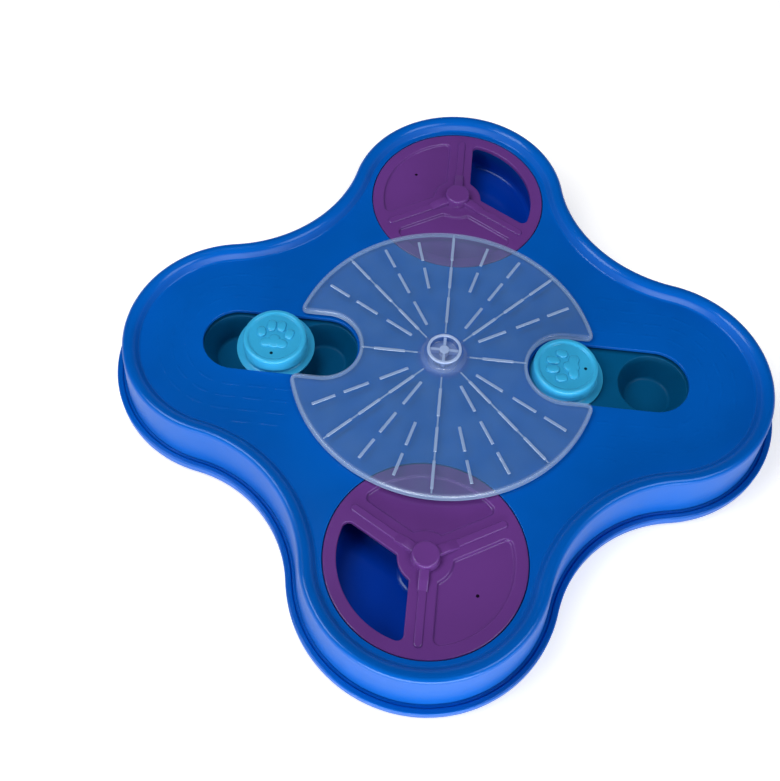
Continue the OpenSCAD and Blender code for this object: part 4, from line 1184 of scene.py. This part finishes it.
def tray_skin(s, x0, x1):
    """A cup tray along X: a strip with rails and two cups. Round each cup's axis, rays meet the cup's mouth
    and then the strip's edge: its round end, its side or the line half way to the other cup."""
    half = (x1 - x0) / 2
    corner = math.degrees(math.atan2(s.rail_r, half))
    upper = np.concatenate([np.linspace(0, corner, 12)[:-1], np.linspace(corner, 90, 14),
                            np.linspace(90, 180, 33)[1:]])
    ray = np.concatenate([upper, -upper[::-1][1:-1]])
    fold = np.abs(ray)
    spoke = polar(ray, 1.0)
    is_rail = fold > corner - 1e-9

    def edge(grow):
        """The strip's edge grown by grow, seen from a cup."""
        on_line = np.stack([0 * ray + half, half * np.tan(np.radians(np.clip(ray, -80, 80)))], -1)
        on_line = on_line * [1, (s.rail_r + grow) / s.rail_r]
        on_side = np.stack([s.rail_r / np.tan(np.radians(np.maximum(fold, 1))),
                            np.sign(ray) * (s.rail_r + grow)], -1)
        on_end = spoke * (s.rail_r + grow)
        return np.where(is_rail[:, None], np.where((fold <= 90)[:, None], on_side, on_end), on_line)

    low = s.strip_z - s.tray_t
    mouth, shoulder, rail_in, rail_mid = s.cup_r + 0.9, s.cup_r + 2.2, -0.6, s.rail_t / 2
    inside = rounded([[0, s.cup_z, 0], [s.cup_floor_r, s.cup_z, 2.0], [s.cup_r, s.strip_z, 0.7],
                      [mouth, s.strip_z, 0]], 6)
    outside = rounded([[0, s.cup_z - s.tray_t, 0], [s.cup_floor_r + 0.6, s.cup_z - s.tray_t, 2.5],
                       [s.cup_r + 1.4, low, 0.5], [shoulder, low, 0]], 4)
    around = np.argsort(np.where(ray < 0, ray + 360, ray))
    around = around[is_rail[around]]
    skin = Skin()
    halves = []
    for side in (1, -1):
        flip = np.array([-side, 1])
        at = np.array([side * half, 0])
        zero = np.zeros_like(spoke) + at
        skin.add(carried(zero, spoke * flip, inside))
        skin.add(carried(zero, spoke * flip, outside))
        skin.add(level(at + spoke * flip * mouth, at + edge(rail_in) * flip, s.strip_z))
        skin.add(level(at + spoke * flip * shoulder, at + edge(rail_mid) * flip, low))
        halves.append([(at + edge(grow)[around] * flip)[::-side] for grow in (0, rail_mid)])
    inner, outer = [np.concatenate(pair) for pair in zip(*halves)]
    rail = rounded([[rail_in, s.strip_z, 0], [0, s.strip_z, 0.4], [0, s.rail_z, 0], [s.rail_t, s.rail_z, 0],
                    [s.rail_t, low, 0.3], [rail_mid, low, 0]], 3, 0.05)
    skin.add(carried(inner, (outer - inner) / rail_mid, rail))
    ear_z, ear_in, riser_z, riser_top, riser_r, riser_in = 19.5, 21.5, 19.6, 24, 1.2, 21
    riser_half = BOSS_R - 1.4
    ear = rounded([[0, ear_z, 0], [BOSS_R, ear_z, 0.2], [BOSS_R, EAR_TOP, 0.2], [0, EAR_TOP, 0]], 2, 0.05)
    riser = rounded([[0, riser_z, 0], [riser_r, riser_z, 0], [riser_r, riser_top, 0], [0, riser_top, 0]],
                    2, 0.05)
    for x in (EAR_INSET - half, half - EAR_INSET):
        for y in (1, -1):
            skin.add(bar((x, y * ear_in), (x, y * EAR_Y), ear, 10))
            skin.add(bar((x - riser_half, y * riser_in), (x + riser_half, y * riser_in), riser, 4))
    skin.points = [turned(p, 0, ((x0 + x1) / 2, 0)) for p in skin.points]
    return skin


class FEEDER_OT_trays(bpy.types.Operator):
    """Build the two cup trays"""
    bl_idname = "feeder.trays"
    bl_label = "Cup trays"

    def execute(self, context):
        shell = sizes("shell")
        s = sizes("slider")
        for name, angle in (("right_cup_tray", 0), ("left_cup_tray", 180)):
            skin = tray_skin(s, shell.slot_inner, shell.lobe_offset)
            skin.points = [turned(p, angle) for p in skin.points]
            put(name.replace("cup_", ""), skin, finish("tray_plastic"), "base", "tray", name)
        return {"FINISHED"}


class FEEDER_OT_hardware(bpy.types.Operator):
    """Give the screws, washers and feet their finishes"""
    bl_idname = "feeder.hardware"
    bl_label = "Screws, washers and feet"

    def execute(self, context):
        kinds = {"screw": "plated_steel", "washer": "plated_steel", "foot": "foot_rubber"}
        for name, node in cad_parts.items():
            for word, kind in kinds.items():
                if word in name:
                    node.data.materials.clear()
                    node.data.materials.append(finish(kind))
        return {"FINISHED"}


# ---------------------------------------------------------------- stage

class FeederStage(bpy.types.PropertyGroup):
    """The floor, the lights and the camera."""
    floor_r: length("Floor radius", 6000, "Radius of the pale floor")
    floor_tone: share("Floor tone", 0.93, "How pale the floor is")
    floor_glow: share("Floor glow", 0.44, "Light that the floor shows to the camera beyond what falls on it")
    sky_low: share("Horizon light", 0.85, "Light of the room at the horizon")
    sky_high: share("Overhead light", 0.07, "Light of the room overhead")
    sky_behind: share("Light behind", 0.35, "Share of that light which comes from behind the toy")
    sky_turn: share("Overhead start", 0.55, "Sine of the height at which the overhead light starts")
    left_power: power("Left light", 3.6, "Power of the soft light at the left")
    right_power: power("Right light", 2.6, "Power of the soft light at the right")
    front_power: power("Front light", 10.5, "Power of the low light at the front")
    back_power: power("Back light", 0.8, "Power of the weak light at the back")
    top_power: power("Top light", 2.1, "Power of the light overhead, which leaves no shine")
    lens: bpy.props.FloatProperty(name="Lens", description="Focal length of the camera", default=49.54,
                                  subtype="DISTANCE_CAMERA")


# Each lamp's place, the point it looks at and its width and height, all in metres, and whether it shows in a
# glossy surface.
LAMPS = {
    "left": ((-0.61, -0.22, 0.89), (0, 0, 0.03), (0.5, 0.42), True),
    "right": ((0.57, -0.3, 0.89), (0, 0, 0.03), (0.5, 0.42), True),
    "front": ((0.05, -0.95, 0.13), (0, 0, 0.02), (1.2, 0.22), True),
    "back": ((-0.1, 0.9, 0.4), (0, 0, 0.03), (0.9, 0.3), False),
    "top": ((-0.26, 0.12, 0.8), (-0.05, 0.05, 0.03), (0.3, 0.3), False),
}
# The camera's place in metres, its turn in radians, and how far its lens is shifted to the side and up.
CAMERA_PLACE = (-0.011666, -0.284339, 0.494767)
CAMERA_TURN = (0.5507361, 0.0026994, 0.1206401)
CAMERA_SHIFT = (0.0512, -0.0512)


def soft_lamp(name, watts):
    """A large soft lamp that looks at a point."""
    spot, aim, size, shows = LAMPS[name]
    lamp = bpy.data.lights.new(name, "AREA")
    lamp.shape = "RECTANGLE"
    lamp.size, lamp.size_y = size
    lamp.energy = watts
    made = bpy.data.objects.new(name, lamp)
    bpy.context.scene.collection.objects.link(made)
    ahead = np.asarray(aim, float) - spot
    tilt = math.acos(-ahead[2] / np.linalg.norm(ahead))
    made.location = spot
    made.rotation_euler = (tilt, 0, math.atan2(ahead[1], ahead[0]) - math.pi / 2)
    made.visible_glossy = shows


def seen_rays(kit, glossy_share=1.0):
    """1 for rays from the camera, for those through clear plastic and, times a share, for glossy ones."""
    seen = kit.node("ShaderNodeLightPath", out="Is Camera Ray")
    return kit.most(seen, seen.out("Is Glossy Ray") * glossy_share, seen.out("Is Transmission Ray"))


def pale_floor(s):
    """A pale floor with a little light of its own, which rises to plain white far from the toy."""
    kit = Kit("pale_floor")
    x, y, _ = kit.spot()
    tone = kit.noise(3, 2).step(0.3, 0.7)
    base = kit.blend(tone, (s.floor_tone,) * 3 + (1,), (s.floor_tone * 0.99,) * 3 + (1,))
    far = ((x ** 2 + y ** 2) ** 0.5).step(400, 1200)
    glow = seen_rays(kit) * (far * (1 - s.floor_glow) + s.floor_glow)
    glow = kit.node("ShaderNodeCombineXYZ", None, {axis: glow for axis in "XYZ"})
    return kit.surface(Base_Color=base, Roughness=0.9, Specular_IOR_Level=0.1,
                       Emission_Color=glow, Emission_Strength=1.0)


def room_light(world, s):
    """The room's light: bright at the horizon and dim overhead, dimmer behind the toy, and seen as white."""
    kit = Kit(world, "Generated")
    white = 1.25
    height = kit.node("ShaderNodeSeparateXYZ", None, {0: kit.place}, "Z")
    rise = {"Value": height, "From Max": s.sky_turn, "To Min": s.sky_low, "To Max": s.sky_high}
    back = {"Value": height.out("Y"), "From Min": -0.5, "From Max": 0.6, "To Min": 1, "To Max": s.sky_behind}
    light = kit.node("ShaderNodeMapRange", None, rise) * kit.node("ShaderNodeMapRange", None, back)
    seen = seen_rays(kit, 1 - height.step(0.0, 0.06)) * (1 - height.step(0.2, 0.5))
    light = light + (white - light) * seen
    kit.finish(kit.node("ShaderNodeBackground", None, {"Strength": light}), "ShaderNodeOutputWorld")


class FEEDER_OT_stage(bpy.types.Operator):
    """Set up the floor, the room's light, the lamps and the camera"""
    bl_idname = "feeder.stage"
    bl_label = "Stage"

    def execute(self, context):
        s = context.scene.feeder_stage
        sides = 96
        under = -0.05 / 1000
        ring = lifted(polar(np.arange(sides) * 360 / sides, s.floor_r)[None], under)[0]
        mesh = bpy.data.meshes.new("floor")
        mesh.from_pydata([(0, 0, under)] + ring.tolist(), [],
                         [(0, i + 1, (i + 1) % sides + 1) for i in range(sides)])
        floor = bpy.data.objects.new("floor", mesh)
        context.scene.collection.objects.link(floor)
        mesh.materials.append(pale_floor(s))
        context.scene.world = bpy.data.worlds.new("room")
        room_light(context.scene.world, s)
        for name in LAMPS:
            soft_lamp(name, getattr(s, name + "_power"))
        lens = bpy.data.cameras.new("camera")
        lens.lens, lens.sensor_width = s.lens, 36
        lens.shift_x, lens.shift_y = CAMERA_SHIFT
        lens.clip_start, lens.clip_end = 0.02, 50
        camera = bpy.data.objects.new("camera", lens)
        context.scene.collection.objects.link(camera)
        camera.location = CAMERA_PLACE
        camera.rotation_euler = CAMERA_TURN
        context.scene.camera = camera
        context.scene.view_settings.view_transform = "Standard"
        return {"FINISHED"}


# ---------------------------------------------------------------- panel and main

BUILDERS = ("stage", "shell", "bottom", "trays", "discs", "sliders", "cover", "hardware")
GROUPS = (("feeder_shell", FeederShell), ("feeder_disc", FeederDisc), ("feeder_cover", FeederCover),
          ("feeder_slider", FeederSlider), ("feeder_colours", FeederColours), ("feeder_stage", FeederStage))


class FEEDER_PT_panel(bpy.types.Panel):
    """Lists the pieces and their sizes"""
    bl_idname = "FEEDER_PT_panel"
    bl_label = "Puzzle feeder"
    bl_space_type = "VIEW_3D"
    bl_region_type = "UI"
    bl_category = "Puzzle feeder"

    def draw(self, context):
        for name in BUILDERS:
            self.layout.operator("feeder." + name)
        for name, group in GROUPS:
            box = self.layout.box()
            for key in group.__annotations__:
                box.prop(getattr(context.scene, name), key)


CLASSES = tuple(group for _, group in GROUPS) + (
    FEEDER_OT_stage, FEEDER_OT_shell, FEEDER_OT_bottom, FEEDER_OT_trays, FEEDER_OT_discs, FEEDER_OT_sliders,
    FEEDER_OT_cover, FEEDER_OT_hardware, FEEDER_PT_panel)


def register():
    """Register the classes and hang the groups of sizes on the scene."""
    for cls in CLASSES:
        bpy.utils.register_class(cls)
    for name, group in GROUPS:
        setattr(bpy.types.Scene, name, bpy.props.PointerProperty(type=group))


def unregister():
    """Undo register."""
    for name, _ in GROUPS:
        delattr(bpy.types.Scene, name)
    for cls in reversed(CLASSES):
        bpy.utils.unregister_class(cls)


def main():
    """Build everything in order."""
    register()
    for name in BUILDERS:
        getattr(bpy.ops.feeder, name)()


if __name__ == "__main__":
    main()
